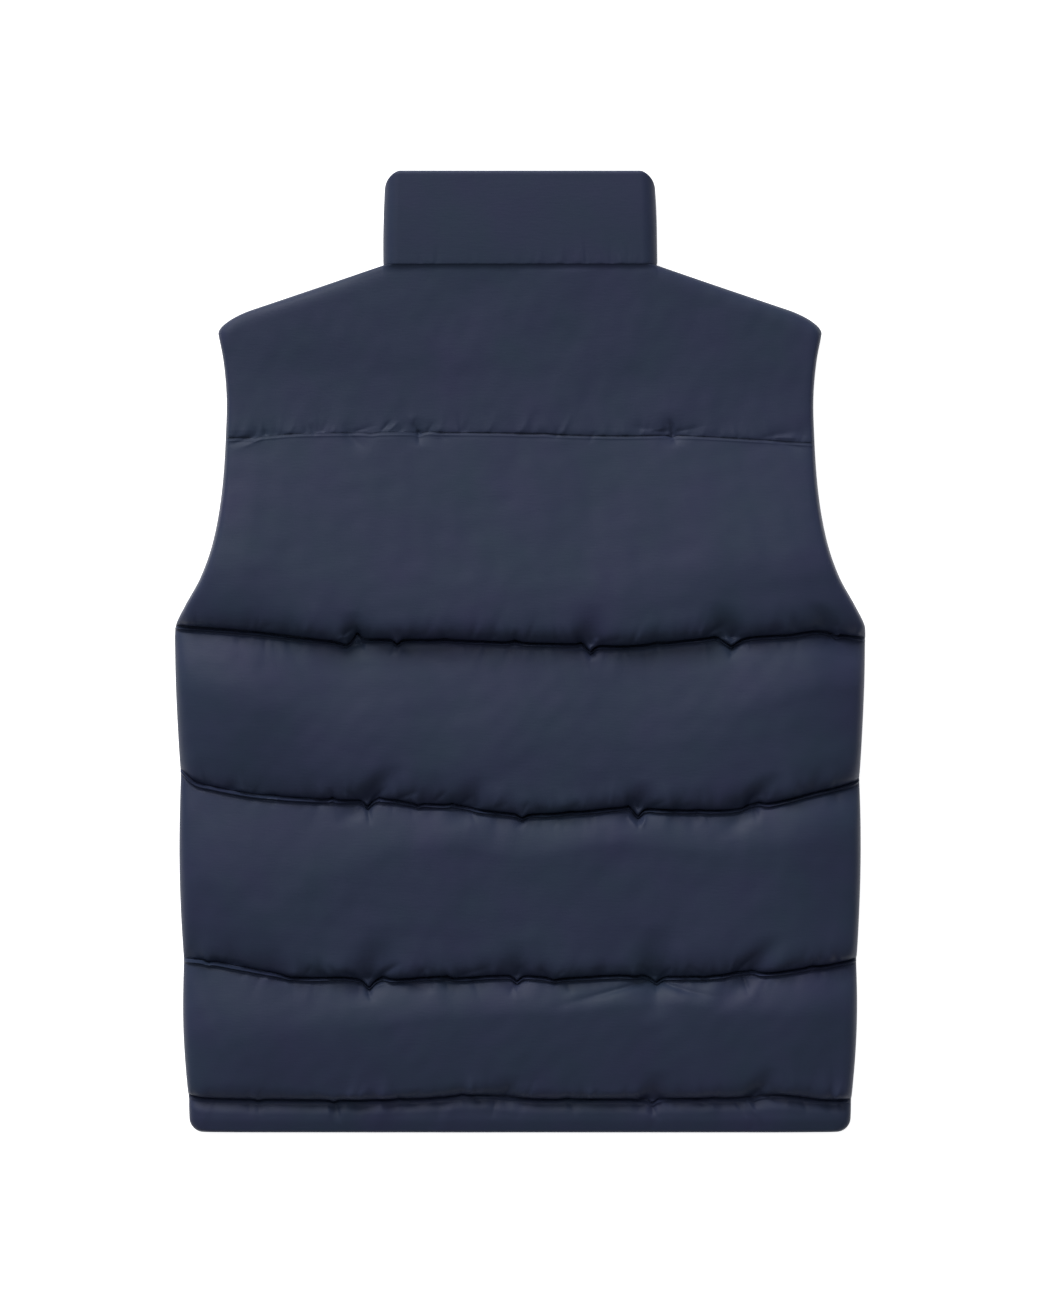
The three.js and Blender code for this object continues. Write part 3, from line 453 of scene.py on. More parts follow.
FOLDS = tuple(Fold(*row) for row in (
    # On and under the yoke's seam
    (-222, 177, -248, 168, 2.2, -1.2), (-219, 178, -217, 187, 1.8, -0.7), (-214, 175, -240, 165, 1.6, 0.7),
    (-170, 181, -174, 190, 2.2, -0.7), (-142, 180, -122, 166, 5, -1.7, -2),
    (-136, 182, -116, 188, 2.2, -0.9), (-114, 183, -104, 194, 1.6, -1), (-108, 183, -98, 192, 1.4, 0.8),
    (-86, 182, -92, 197, 1.8, 1.1, -1), (-84, 181, -86, 195, 1.8, -1.9, 2.4),
    (-84, 181, -83, 168, 1.8, -1.2), (-76, 182, -70, 192, 1.6, -0.8), (-66, 181, -60, 173, 1.8, -0.6),
    (126, 179, 121, 194, 1.8, -2, -2), (122, 182, 84, 189, 3.6, -1.5, 1.5), (117, 184, 96, 181, 2, 0.7),
    (127, 179, 130, 169, 1.8, -0.9), (130, 182, 158, 187, 2.4, -0.9), (202, 177, 240, 184, 3.6, -1.1),
    (214, 173, 242, 166, 3, -1), (212, 177, 238, 176, 1.6, 0.6), (30, 179, 34, 189, 2.2, -0.6),
    (60, 179, 56, 170, 2.2, -0.6),
    # On the seam under the arms
    (-150, 10, -134, 14, 1.6, 1.5, 0.8), (-144, 14, -133, 20, 2.2, -2.6, 0.8),
    (-133, 15, -130, -1, 1.6, -2.4, 0.6), (-128, 10, -126, -4, 1.6, 0.9), (-138, 5, -158, 3, 3, -1.2),
    (-101, 8, -97, 20, 2, -1.3), (-103, 6, -107, -6, 1.8, -1.2), (-94, 10, -74, 15, 2.6, -1.3),
    (-98, 4, -28, -6, 8, -1.7, -7), (-64, 12, -52, 18, 2, -0.8), (-26, 9, -14, 17, 2.2, -1.4),
    (-4, 10, -2, 20, 2.4, -1), (48, 9, 55, 1, 1.8, -2.2), (54, 6, 45, 19, 2.4, -1.8, 1),
    (60, 3, 60, -9, 1.6, -1.6), (63, 9, 66, -2, 1.2, 1.2), (68, 7, 92, 12, 2.4, -1.2),
    (154, 13, 174, 24, 2.6, -2.8, 1.2), (164, 9, 177, 14, 2, 1.4), (174, 8, 190, 16, 2, -1.8),
    (186, 9, 190, 0, 1.4, 1), (176, 4, 172, -10, 2.4, -1.4), (196, 14, 226, 20, 2.6, -1.2),
    (236, 18, 258, 22, 3, -1.8), (261, 19, 263, 3, 1.3, 1.2), (256, 14, 252, 2, 2.2, -1),
    (-215, 17, -200, 24, 2.6, -1), (-190, 13, -176, 5, 2.4, -0.7), (-226, 15, -238, 6, 2.2, -0.7),
    (110, 7, 118, -6, 2.4, -0.9),
    # On the seam below the chest
    (-268, -107, -252, -115, 2.4, -1.1), (-202, -119, -206, -130, 2.2, -0.9),
    (-160, -120, -176, -129, 2, -1.1), (-154, -121, -158, -110, 2.2, -1.2),
    (-136, -120, -148, -112, 2.4, -1.3), (-126, -128, -107, -110, 2, -3, 1.4),
    (-131, -124, -137, -134, 1.4, 0.9), (-125, -130, -123, -146, 2, -1.8), (-119, -124, -100, -121, 1.4, 1),
    (-100, -121, -80, -114, 2.4, -1.9), (-96, -126, -72, -131, 2, -1.1), (-70, -123, -58, -113, 2.2, -1.5),
    (-66, -127, -46, -136, 2.2, -1), (-50, -127, -36, -116, 2.2, -1.5), (-40, -132, -36, -144, 2.2, -1),
    (-26, -131, -6, -124, 2.6, -1.3), (2, -134, 8, -121, 2.2, -1.5), (4, -137, -4, -147, 1.8, -1.1),
    (42, -131, 50, -122, 2.2, -1), (36, -134, 26, -146, 2, -0.9), (92, -128, 96, -118, 2, -1.3),
    (104, -130, 124, -121, 2.4, -1.7), (90, -137, 98, -147, 1.5, 1.3), (94, -136, 104, -141, 2.2, -2.3),
    (103, -138, 99, -148, 1.3, 1.1), (126, -131, 150, -124, 2.8, -1.4), (146, -132, 150, -143, 2.2, -0.9),
    (186, -128, 202, -112, 2.4, -2.2, 1), (194, -127, 196, -144, 2.4, -1.6), (205, -124, 226, -121, 1.8, -1),
    (210, -126, 230, -127, 2, -0.9), (250, -113, 262, -122, 2.2, -0.8),
    # On the seam above the waist
    (-178, -268, -170, -257, 2.4, -1.5), (-150, -268, -160, -256, 2.4, -1.5),
    (-136, -268, -152, -262, 2.4, -1.8), (-123, -274, -92, -254, 2.6, -3.2, 1.6),
    (-121, -277, -98, -269, 1.3, 1.3), (-126, -279, -121, -290, 2, -1.8),
    (-132, -272, -134, -286, 3.4, -1.2), (-84, -268, -76, -258, 2.4, -1.4),
    (-98, -273, -60, -281, 3.4, -1.4), (-62, -268, -58, -282, 2, -1.3), (-50, -267, -16, -258, 2.8, -1.5),
    (-3, -270, 2, -256, 2.2, -1.9), (-3, -273, -10, -285, 2, -1.3), (22, -268, 14, -258, 2.2, -1.6),
    (30, -268, 40, -260, 2.2, -1.2), (38, -273, 44, -284, 2.6, -1.3), (108, -271.5, 16, -296, 2.8, -2.6),
    (114, -271.5, 176, -285, 2.4, -2.2, -3), (113, -272, 127, -258, 2.4, -2.6),
    (110, -268, 96, -256, 3, -1.4), (150, -266, 136, -258, 2.6, -1.3), (178, -265, 200, -246, 2.4, -2.4, 1),
    (184, -267, 190, -287, 2.4, -2), (196, -265, 208, -276, 1.4, 0.9), (216, -262, 232, -254, 2.6, -1.4),
    (-188, -267, -204, -272, 2.4, -1), (-226, -261, -232, -272, 2.4, -0.8),
    (-244, -257, -258, -252, 2.6, -1.3), (242, -259, 252, -249, 2.6, -1.2), (66, -268, 62, -258, 2.4, -1),
    (246, -262, 254, -272, 2.2, -0.9),
    # On the hem's seam
    (-153, -372, -148, -392, 2, -1.7), (-159, -374, -157, -390, 1.6, 0.8), (-118, -369, -126, -360, 2, -0.9),
    (-96, -369, -86, -377, 1.6, -1.2), (-90, -368, -80, -361, 2, -1.3), (-66, -367, -72, -377, 1.8, -1.2),
    (-60, -367, -50, -360, 2.2, -1.2), (-40, -367, -28, -376, 1.8, -1.2), (-12, -366, -6, -354, 2.2, -1.3),
    (-20, -370, -24, -388, 2.2, -1.1), (40, -369, 48, -386, 2.4, -1.2), (20, -369, 12, -379, 1.8, -0.9),
    (96, -366, 110, -376, 1.6, -1.9), (114, -371, 128, -381, 1.8, 1.3), (116, -370, 108, -356, 2.4, -1.7),
    (109, -376, 116, -390, 2, -1.1), (146, -369, 156, -378, 1.8, -1.1), (190, -369, 206, -354, 2.4, -2),
    (186, -370, 201, -394, 1.5, 1.6, 1.5), (178, -372, 190, -386, 2, -1.3),
    (206, -368, 222, -375, 1.8, -1.1), (232, -368, 240, -386, 2, -1.2), (264, -371, 268, -386, 1.6, -1),
    (-216, -370, -211, -359, 2.2, -0.9), (-226, -372, -220, -386, 2.4, -0.9), (60, -369, 66, -359, 2.2, -1),
))


@dataclass(frozen=True)
class Puckers:
    """The small wrinkles that the stitching gathers along one side of one seam."""

    seed: int
    count: int = 70
    depth: float = 0.34
    reach: float = 7.0
    narrow: float = 2.0
    wide: float = 6.0
    span: float = 282.0
    most_lean: float = 0.5
    starts_over: float = 1.2
    widens_over: float = 26.0

    def height(self, x: Real, off: Real, row: int = 0) -> Real:
        """What they add to the cloth's height.

        Args:
            x: place across.
            off: distance from the seam.
            row: which row of the same kind, each with its own wrinkles.

        Returns:
            The added height.
        """
        dice = np.random.default_rng(self.seed + row)
        total = np.zeros_like(x)
        start = 1.0 - np.exp(-off / self.starts_over)
        for _ in range(self.count):
            middle = dice.uniform(-self.span, self.span)
            half = dice.uniform(self.narrow, self.wide)
            reach = self.reach * dice.uniform(0.5, 1.9)
            lean = dice.uniform(-self.most_lean, self.most_lean)
            size = self.depth * dice.normal()
            width = half * (1.0 + off / self.widens_over)
            total += size * start * np.exp(-off / reach) * hill(x - middle - lean * off, width)
        return total


@dataclass(frozen=True)
class Lumps:
    """The slow unevenness of padding under its cloth."""

    seed: int
    height_mm: float = 0.4
    waves: int = 14
    shortest: float = 55.0
    longest: float = 170.0

    def height(self, x: Real, y: Real, row: int = 0) -> Real:
        """What the unevenness adds to the cloth's height in a row of the same kind."""
        dice = np.random.default_rng(self.seed + row)
        total = np.zeros_like(x)
        for _ in range(self.waves):
            turn = dice.uniform(0.0, math.pi)
            length = dice.uniform(self.shortest, self.longest)
            phase = dice.uniform(0.0, 2.0 * math.pi)
            along = x * math.cos(turn) + y * math.sin(turn)
            total += np.sin(2.0 * math.pi * along / length + phase)
        return self.height_mm * total / math.sqrt(self.waves)


# Meshes


def in_order(shape: Shape, edges: set[Edge]) -> list[Edge]:
    """The edges in the order of the mesh, so that each run makes the same faces in the same order."""
    return [edge for edge in shape.edges if edge in edges]


def thicken(shape: Shape, by: float) -> list[Face]:
    """Gives a flat sheet of faces a thickness, and returns the faces of its raised side."""
    grown = bmesh.ops.extrude_face_region(shape, geom=list(shape.faces))["geom"]
    raised = [part for part in grown if isinstance(part, Vert)]
    bmesh.ops.translate(shape, verts=raised, vec=(0.0, 0.0, by))
    return [part for part in grown if isinstance(part, Face)]


def padded_block(name: str, cells: tuple[int, int], cuts: int, placing: Placing) -> Piece:
    """A closed, padded shape with a finely divided outer face and a plain inner one.

    Args:
        name: name of the piece.
        cells: cells across and up on the inner face.
        cuts: how many times each cell's edge is cut on the outer face.
        placing: takes how far across and up each point is, from -1 to 1 and 0 to 1, and whether it is on the
            outer face, and gives its place in millimetres.

    Returns:
        The finished object.
    """
    block = bmesh.new()
    bmesh.ops.create_grid(block, x_segments=cells[0], y_segments=cells[1], size=1.0)
    top = thicken(block, 1.0)
    bmesh.ops.recalc_face_normals(block, faces=list(block.faces))
    edges = in_order(block, {edge for face in top for edge in face.edges})
    bmesh.ops.subdivide_edges(block, edges=edges, cuts=cuts, use_grid_fill=True)
    mesh = bpy.data.meshes.new(name)
    block.to_mesh(mesh)
    block.free()

    flat = np.empty(len(mesh.vertices) * 3)
    mesh.vertices.foreach_get("co", flat)
    across, up, depth = flat.reshape(-1, 3).T
    placed = np.stack(placing(across, (up + 1.0) / 2.0, depth > 0.5), axis=1) * MM
    mesh.vertices.foreach_set("co", placed.ravel())
    mesh.update()
    return finished(name, mesh)


def finished(name: str, mesh: bpy.types.Mesh) -> Piece:
    """An object for a closed mesh, facing outwards, smooth and with its real edges kept sharp."""
    mesh.calc_loop_triangles()
    corners = np.empty(len(mesh.loop_triangles) * 3, dtype=np.int32)
    mesh.loop_triangles.foreach_get("vertices", corners)
    places = np.empty(len(mesh.vertices) * 3)
    mesh.vertices.foreach_get("co", places)
    a, b, c = places.reshape(-1, 3)[corners.reshape(-1, 3)].transpose(1, 0, 2)
    if np.einsum("ij,ij->", a, np.cross(b, c)) < 0.0:
        mesh.flip_normals()
    mesh.shade_smooth()
    mesh.set_sharp_from_angle(angle=SHARP_ANGLE)
    piece = bpy.data.objects.new(name, mesh)
    bpy.context.collection.objects.link(piece)
    return piece


def dress(piece: Piece, node: str, body: str, finish: Material) -> None:
    """Makes a piece stand for a solid, ride on its body and wear its finish."""
    piece.data.materials.append(finish)
    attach(piece, body)
    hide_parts(node)
    log.info("%s: %d faces", piece.name, len(piece.data.polygons))


def closed_piece(
    name: str, shape: Shape, node: str, finish: Material, body: str = "garment",
) -> Piece:
    """Makes a piece of a closed bmesh, which it frees, and dresses it as dress does."""
    bmesh.ops.recalc_face_normals(shape, faces=list(shape.faces))
    mesh = bpy.data.meshes.new(name)
    shape.to_mesh(mesh)
    shape.free()
    piece = finished(name, mesh)
    dress(piece, node, body, finish)
    return piece


def padded_piece(
    node: str, cells: tuple[int, int], cuts: int, placing: Placing, cloth: Material,
) -> Piece:
    """Builds a padded piece and dresses it.

    Args:
        node: the solid that it stands for.
        cells: cells across and up on the inner face.
        cuts: how many times each cell's edge is cut on the outer face.
        placing: where its points go, as padded_block takes it.
        cloth: the outer cloth.

    Returns:
        The piece.
    """
    piece = padded_block(node + "_cloth", cells, cuts, placing)
    dress(piece, node, "garment", cloth)
    return piece


# Padded pieces


@dataclass(frozen=True)
class Baffle:
    """A padded baffle between two seams: the padding's height and how it rises and falls."""

    name: str
    crown: float
    quick: float
    front_crown_at: float
    rise: Course
    fall: Course


def reaches(*rows: tuple[float, float, float]) -> tuple[Course, Course]:
    """Splits rows of place across, rise and fall into two courses."""
    rise = Course(tuple((across, reach) for across, reach, _ in rows))
    fall = Course(tuple((across, reach) for across, _, reach in rows))
    return rise, fall


BAFFLES = (
    Baffle("yoke", 0.0, 0.0, 0.3, *reaches(
        (-1, 16, 5), (-0.3, 16, 5), (-0.18, 16, 11), (0.3, 16, 10), (1, 16, 7),
    )),
    Baffle("upper_baffle", 27.6, 0.6, 0.42, *reaches(
        (-1, 118, 40), (-0.75, 130, 36), (-0.52, 156, 20), (-0.2, 160, 23), (0, 160, 20),
        (0.26, 156, 20), (0.52, 130, 26), (0.72, 118, 32), (1, 104, 36),
    )),
    Baffle("middle_baffle", 25.0, 1.0, 0.5, *reaches(
        (-1, 62, 92), (-0.75, 62, 82), (-0.52, 88, 40), (-0.2, 112, 33), (0, 96, 18),
        (0.26, 104, 20), (0.52, 88, 28), (0.72, 60, 30), (1, 42, 36),
    )),
    Baffle("lower_baffle", 23.0, 2.6, 0.52, *reaches(
        (-1, 80, 84), (-0.75, 86, 58), (-0.52, 66, 13), (-0.36, 46, 17), (-0.2, 36, 24),
        (0, 38, 26), (0.26, 32, 20), (0.52, 36, 28), (0.72, 40, 28), (1, 44, 24),
    )),
    Baffle("waist_baffle", 21.0, 2.6, 0.52, *reaches(
        (-1, 66, 20), (-0.75, 60, 18), (-0.52, 44, 8), (-0.2, 36, 15), (0, 34, 14),
        (0.26, 28, 9), (0.45, 24, 17), (0.62, 34, 20), (0.8, 40, 17), (1, 46, 15),
    )),
)


class Quilted:
    """A quilted part of the vest, five baffles and a hem casing, which says where their points go."""

    def build(self, cloth: Material) -> list[Piece]:
        """Builds and dresses the part's pieces.

        Args:
            cloth: the outer cloth.

        Returns:
            The pieces, from the yoke down to the hem.
        """
        made = []
        for k, baffle in enumerate(BAFFLES):
            node, placing = self.prefix + baffle.name, partial(self.place_baffle, k)
            made.append(padded_piece(node, self.cells, self.cuts, placing, cloth))
        node = self.prefix + "hem"
        return made + [padded_piece(node, self.hem_cells, self.cuts, self.place_hem, cloth)]


@dataclass(frozen=True)
class Back(Quilted):
    """The quilted back: five baffles and the hem casing. Sizes are in millimetres."""

    prefix: str = "back_"
    cut: Cut = Cut()
    cells: tuple[int, int] = (72, 12)
    cuts: int = 7
    hem_cells: tuple[int, int] = (72, 4)
    fill: float = 0.6
    hem_fill: float = 0.4
    yoke_top: float = 22.4
    yoke_sag: float = 2.8
    yoke_dip: Course = Course(((-1, 0.5), (-0.3, 0.5), (-0.16, 1.7), (0.3, 1.7), (0.6, 1.5), (1, 0.9)))
    yoke_sag_over: float = 52.0
    yoke_sag_power: float = 1.5
    neck_seam: float = 11.9
    neck_reach: float = 5.0
    neck_settle: float = 2.4
    round_shoulder: float = 18.0
    collar_layer: float = 12.0
    overhang: float = 0.4
    overhang_until: float = 0.8
    overhang_side: float = 20.0
    pull_reach: float = 10.0
    toe: float = 4.0
    straight: float = 0.75
    quick_reach: float = 7.0
    quick_settle: float = 2.0
    stitch_ridge: float = 4.6
    stitch_ridge_at: float = 2.6
    stitch_ridge_half: float = 0.7
    stitch_groove: float = 0.5
    stitch_groove_at: float = 4.4
    stitch_groove_half: float = 1.1
    above_seams: tuple[Puckers, ...] = (Puckers(60, 130, 0.9), Puckers(160, 110, 0.9, 4.5, 1.5, 3.0))
    below_seams: tuple[Puckers, ...] = (
        Puckers(80, 120, 0.55, 7.0, 1.6, 5.0), Puckers(120, 30, 0.4, 14.0, 8.0, 22.0),
    )
    yoke_calm: float = 0.5
    lumps: tuple[Lumps, ...] = (Lumps(40), Lumps(50, 0.13, 40, 14.0, 46.0))
    lumps_from_seam: float = 6.0
    hem_rise: float = 4.4
    hem_rise_over: Span = (0.5, 13.0)
    hem_fall: float = 2.2
    hem_fall_over: float = 13.0
    hem_edge: float = 4.0
    hem_edge_share: float = 0.35
    hem_ridge: float = 0.4
    hem_ridge_half: float = 0.9
    hem_puckers: Puckers = Puckers(95, 120, 0.65, 9.0, 2.0, 7.0)
    least: float = 0.9

    def edge_lines(self, k: int, across: Real) -> tuple[Real, Real]:
        """Heights of the lower and upper edges of baffle k along each column."""
        half_gap = self.cut.stitch_gap / 2.0
        lower = SEAMS[k]
        low = lower.at(self.cut.column(across, lower.side_y)) + half_gap
        if not k:
            return low, self.cut.back_top(self.cut.column(across, self.cut.neck_y))
        upper = SEAMS[k - 1]
        return low, upper.at(self.cut.column(across, upper.side_y)) - half_gap

    def calm_distance(self, seam: Seam, x: Real, y: Real, near: Real) -> Real:
        """Distance from a seam that forgets the seam's notches further off.

        Args:
            seam: the seam.
            x: place across.
            y: height on the back.
            near: true distance from the seam.

        Returns:
            The distance, from the true one at the seam to that from its smooth route.
        """
        return lerp(near, np.abs(y - seam.route.at(x)), smoothstep(near, 0.0, self.pull_reach))

    def yoke_height(self, x: Real, y: Real, above: Real, below: Real) -> Real:
        """Thickness of the yoke, apart from its fall to the lower seam."""
        cut = self.cut
        level = self.yoke_top - cut.parting(x, y)
        at_neck = lerp(self.neck_seam, level, settle(below, self.neck_reach, self.neck_settle))
        at_shoulder = lerp(cut.closed_edge, level, shoulder(below, self.round_shoulder))
        sag = self.yoke_sag * unit(1.0 - above / self.yoke_sag_over) ** self.yoke_sag_power
        return sag + lerp(at_shoulder, at_neck, round_over(cut.neck_half - np.abs(x), self.collar_layer))

    def seam_height(self, k: int, x: Real, y: Real) -> Real:
        """Thickness at seam k: the first one runs almost level across the shoulders."""
        if k:
            return np.full_like(x, SEAMS[k].thick)
        dip = self.yoke_dip.at(x / self.cut.chest_half)
        return self.yoke_top + self.yoke_sag - dip - self.cut.parting(x, y)

    def baffle_height(self, k: int, x: Real, y: Real, below: Real, low: Real) -> Real:
        """Thickness of a lower baffle as it rises below its upper seam.

        Args:
            k: which baffle.
            x: place across.
            y: height on the back.
            below: distance below the upper seam.
            low: height of its lower edge on the back.

        Returns:
            The thickness, without its fall to the lower seam.
        """
        baffle, seam = BAFFLES[k], SEAMS[k - 1]
        reach = baffle.rise.at(x / self.cut.chest_half)
        quick = baffle.quick * settle(below, self.quick_reach, self.quick_settle)
        if k == 1:
            share = ramp(below, reach, self.straight)
            start = self.yoke_top + self.yoke_sag - self.yoke_dip.at(x / self.cut.chest_half)
            crown = self.cut.parting(x, low) + baffle.crown
            full = lerp(start, crown, share) - self.cut.parting(x, y)
        else:
            share = swell(below, reach, self.toe)
            full = seam.thick + quick + (baffle.crown - seam.thick - baffle.quick) * share
        ridge = self.stitch_ridge * hill(below - self.stitch_ridge_at, self.stitch_ridge_half)
        groove = self.stitch_groove * hill(below - self.stitch_groove_at, self.stitch_groove_half)
        return full + seam.relief * (ridge - groove)

    def place_baffle(self, k: int, across: Real, up: Real, outer: Real) -> Places:
        """Places the points of baffle k, as padded_block asks."""
        cut = self.cut
        low, high = self.edge_lines(k, across)
        y = lerp(low, high, crowded(up))
        x = cut.column(across, y)
        above, below = y - low, high - y
        above_calm = self.calm_distance(SEAMS[k], x, y, above)
        fall = BAFFLES[k].fall.at(x / cut.chest_half)
        if k == 0:
            full = self.yoke_height(x, y, above, below)
        else:
            below_calm = self.calm_distance(SEAMS[k - 1], x, y, below)
            full = self.baffle_height(k, x, y, below_calm, low)
        drop = shoulder(above_calm, fall)
        base = self.seam_height(k, x, low)
        thick = base + (full - base) * drop
        for gather in GATHERS:
            thick = cut.closed_edge + (thick - cut.closed_edge) * gather.left(x, y)
        thick = thick + self.wrinkles(k, x, y, above, below)
        inside = cut.half_width(y) - np.abs(x)
        floor = cut.parting(x, y) + cut.gap(inside)
        thick = np.maximum(cut.rounded(thick, inside, y), self.least)
        hang = np.sin(math.pi * unit(drop / self.overhang_until)) * unit(inside / self.overhang_side)
        z = floor + np.where(outer, thick, 0.0)
        return x, y - np.where(outer, self.overhang * hang, 0.0), z

    def wrinkles(self, k: int, x: Real, y: Real, above: Real, below: Real) -> Real:
        """Listed folds, small puckers along both seams, and the padding's unevenness."""
        inwards = unit(above / self.lumps_from_seam) * unit(below / self.lumps_from_seam)
        total = np.zeros_like(x)
        for lumps in self.lumps:
            total = total + lumps.height(x, y, k) * inwards
        for fold in FOLDS:
            total = total + fold.height(x, y)
        for puckers in self.above_seams:
            total = total + (1.0 if k else self.yoke_calm) * puckers.height(x, above, k)
        for puckers in self.below_seams if k else ():
            total = total + SEAMS[k - 1].relief * puckers.height(x, below, k)
        return total

    def place_hem(self, across: Real, up: Real, outer: Real) -> Places:
        """Places the points of the hem casing."""
        cut = self.cut
        seam = SEAMS[-1]
        high = seam.at(cut.column(across, seam.side_y)) - cut.stitch_gap / 2.0
        warped = smoothstep(up, 0.0, 1.0)
        y = lerp(cut.hem_y, high, warped)
        x = cut.column(across, y)
        inside = cut.half_width(y) - np.abs(x)
        below = high - y
        rise = self.hem_rise * smoothstep(below, *self.hem_rise_over)
        fall = self.hem_fall * (1.0 - smoothstep(y - cut.hem_y, 0.0, self.hem_fall_over))
        thick = cut.parting(x, high) + seam.thick + rise - fall - cut.parting(x, y)
        ridge = self.stitch_ridge * self.hem_ridge
        thick = thick + ridge * hill(below - self.stitch_ridge_at, self.hem_ridge_half)
        for fold in FOLDS:
            thick = thick + fold.height(x, y)
        thick = thick + self.hem_puckers.height(x, below)
        edge = shoulder(y - cut.hem_y, self.hem_edge)
        thick = cut.rounded(thick, inside, y) * lerp(self.hem_edge_share, 1.0, edge)
        z = cut.parting(x, y) + cut.gap(inside) + np.where(outer, np.maximum(thick, self.least), 0.0)
        return x, y, z


@dataclass(frozen=True)
class Front(Quilted):
    """One front: five baffles and its hem casing, pressed flat where they rest. Sizes in millimetres."""

    side: Side
    cut: Cut = Cut()
    cells: tuple[int, int] = (26, 8)
    cuts: int = 5
    hem_cells: tuple[int, int] = (26, 3)
    fill: float = 0.5
    hem_fill: float = 0.4
    crown: float = 30.0
    neck_seam: float = 9.4
    seam_most: float = 8.0
    puff: Span = (2.4, 0.62)
    zip_thick: float = 7.0
    zip_thin_over: float = 22.0
    hem_thick: float = 8.6
    hem_fall: float = 2.0
    tape_room: float = 15.2
    tape_recess: float = 1.65
    puckers: Puckers = Puckers(0, 50, 0.5, 8.0)
    hem_puckers: Puckers = Puckers(400, 50, 0.4, 8.0)
    gathers: int = 9
    gather_x: Span = (12.0, 270.0)
    gather_lean: Span = (-0.6, 0.6)
    gather_reach: Span = (10.0, 26.0)
    gather_depth: Span = (1.2, 3.4)
    gather_half: Span = (3.0, 6.5)

    @property
    def prefix(self) -> str:
        """What its solids' names start with."""
        return "front_left_" if self.side is Side.LEFT else "front_right_"

    def seam_line(self, k: int, along: Real) -> Real:
        """Height of a seam on this front: the same route as the back's, without its pulls."""
        seam = SEAMS[k]
        x = self.cut.front_column(along, seam.side_y)
        return seam.route.at(self.side.value * x)

    def inner_height(self, x: Real, y: Real) -> Real:
        """Height of the inner face, which is stepped down under the zip tape."""
        inside = self.cut.half_width(y) - x
        recess = np.where(x <= self.tape_room, self.tape_recess, 0.0)
        return self.cut.parting(x, y) - self.cut.gap(inside) - recess

    def wrinkles(self, seed: int, x: Real, above: Real, below: Real) -> Real:
        """Small puckers along both seams, and longer gathers at uneven places."""
        dice = np.random.default_rng(seed)
        total = self.puckers.height(self.side.value * x, above, seed + 200)
        total = total + self.puckers.height(self.side.value * x, below, seed + 300)
        for _ in range(self.gathers):
            middle = dice.uniform(*self.gather_x)
            lean = dice.uniform(*self.gather_lean)
            reach = dice.uniform(*self.gather_reach)
            size = dice.uniform(*self.gather_depth)
            half = dice.uniform(*self.gather_half)
            off = above if dice.random() < 0.5 else below
            total = total - size * np.exp(-off / reach) * hill(x - middle - lean * off, half)
        return total

    def place_baffle(self, k: int, across: Real, up: Real, outer: Real) -> Places:
        """Places the points of baffle k of this front."""
        cut = self.cut
        half_gap = cut.stitch_gap / 2.0
        along = (across + 1.0) / 2.0
        low = self.seam_line(k, along) + half_gap
        if k:
            high = self.seam_line(k - 1, along) - half_gap
        else:
            high = cut.front_top(cut.front_column(along, cut.neck_y))
        warped = smoothstep(up, 0.0, 1.0)
        y = lerp(low, high, warped)
        x = cut.front_column(along, y)
        above, below = y - low, high - y
        if k:
            upper = min(SEAMS[k - 1].thick, self.seam_most)
        else:
            upper = np.where(x < cut.neck_half, self.neck_seam, cut.closed_edge)
        base = lerp(min(SEAMS[k].thick, self.seam_most), upper, warped)
        share = warped ** (math.log(0.5) / math.log(BAFFLES[k].front_crown_at))
        puff = (1.0 - np.abs(2.0 * share - 1.0) ** self.puff[0]) ** self.puff[1]
        full = base + (self.crown - base) * puff
        full = full + self.wrinkles(20 * k + 5 + self.side.value, x, above, below)
        beside_zip = bump(x - cut.zip_edge, self.zip_thin_over)
        full = lerp(np.minimum(full, self.zip_thick), full, beside_zip)
        return self.settled(x, y, full, outer)

    def settled(self, x: Real, y: Real, thick: Real, outer: Real) -> Places:
        """Hangs the padding under the inner face and presses it flat on the surface."""
        cut = self.cut
        inside = cut.half_width(y) - cut.front_inset(y) - x
        inner = self.inner_height(x, y)
        lowest = cut.parting(x, y) - cut.layer_gap - cut.rounded(thick, inside, y)
        pressed = np.clip(lowest, 0.0, inner - cut.closed_edge)
        return self.side.value * x, y, np.where(outer, pressed, inner)

    def place_hem(self, across: Real, up: Real, outer: Real) -> Places:
        """Places the points of this front's hem casing."""
        cut = self.cut
        along = (across + 1.0) / 2.0
        high = self.seam_line(len(SEAMS) - 1, along) - cut.stitch_gap / 2.0
        y = lerp(cut.hem_y, high, up)
        x = cut.front_column(along, y)
        thick = self.hem_thick - self.hem_fall * up**4
        return self.settled(x, y, thick + self.hem_puckers.height(x, high - y, self.side.value), outer)


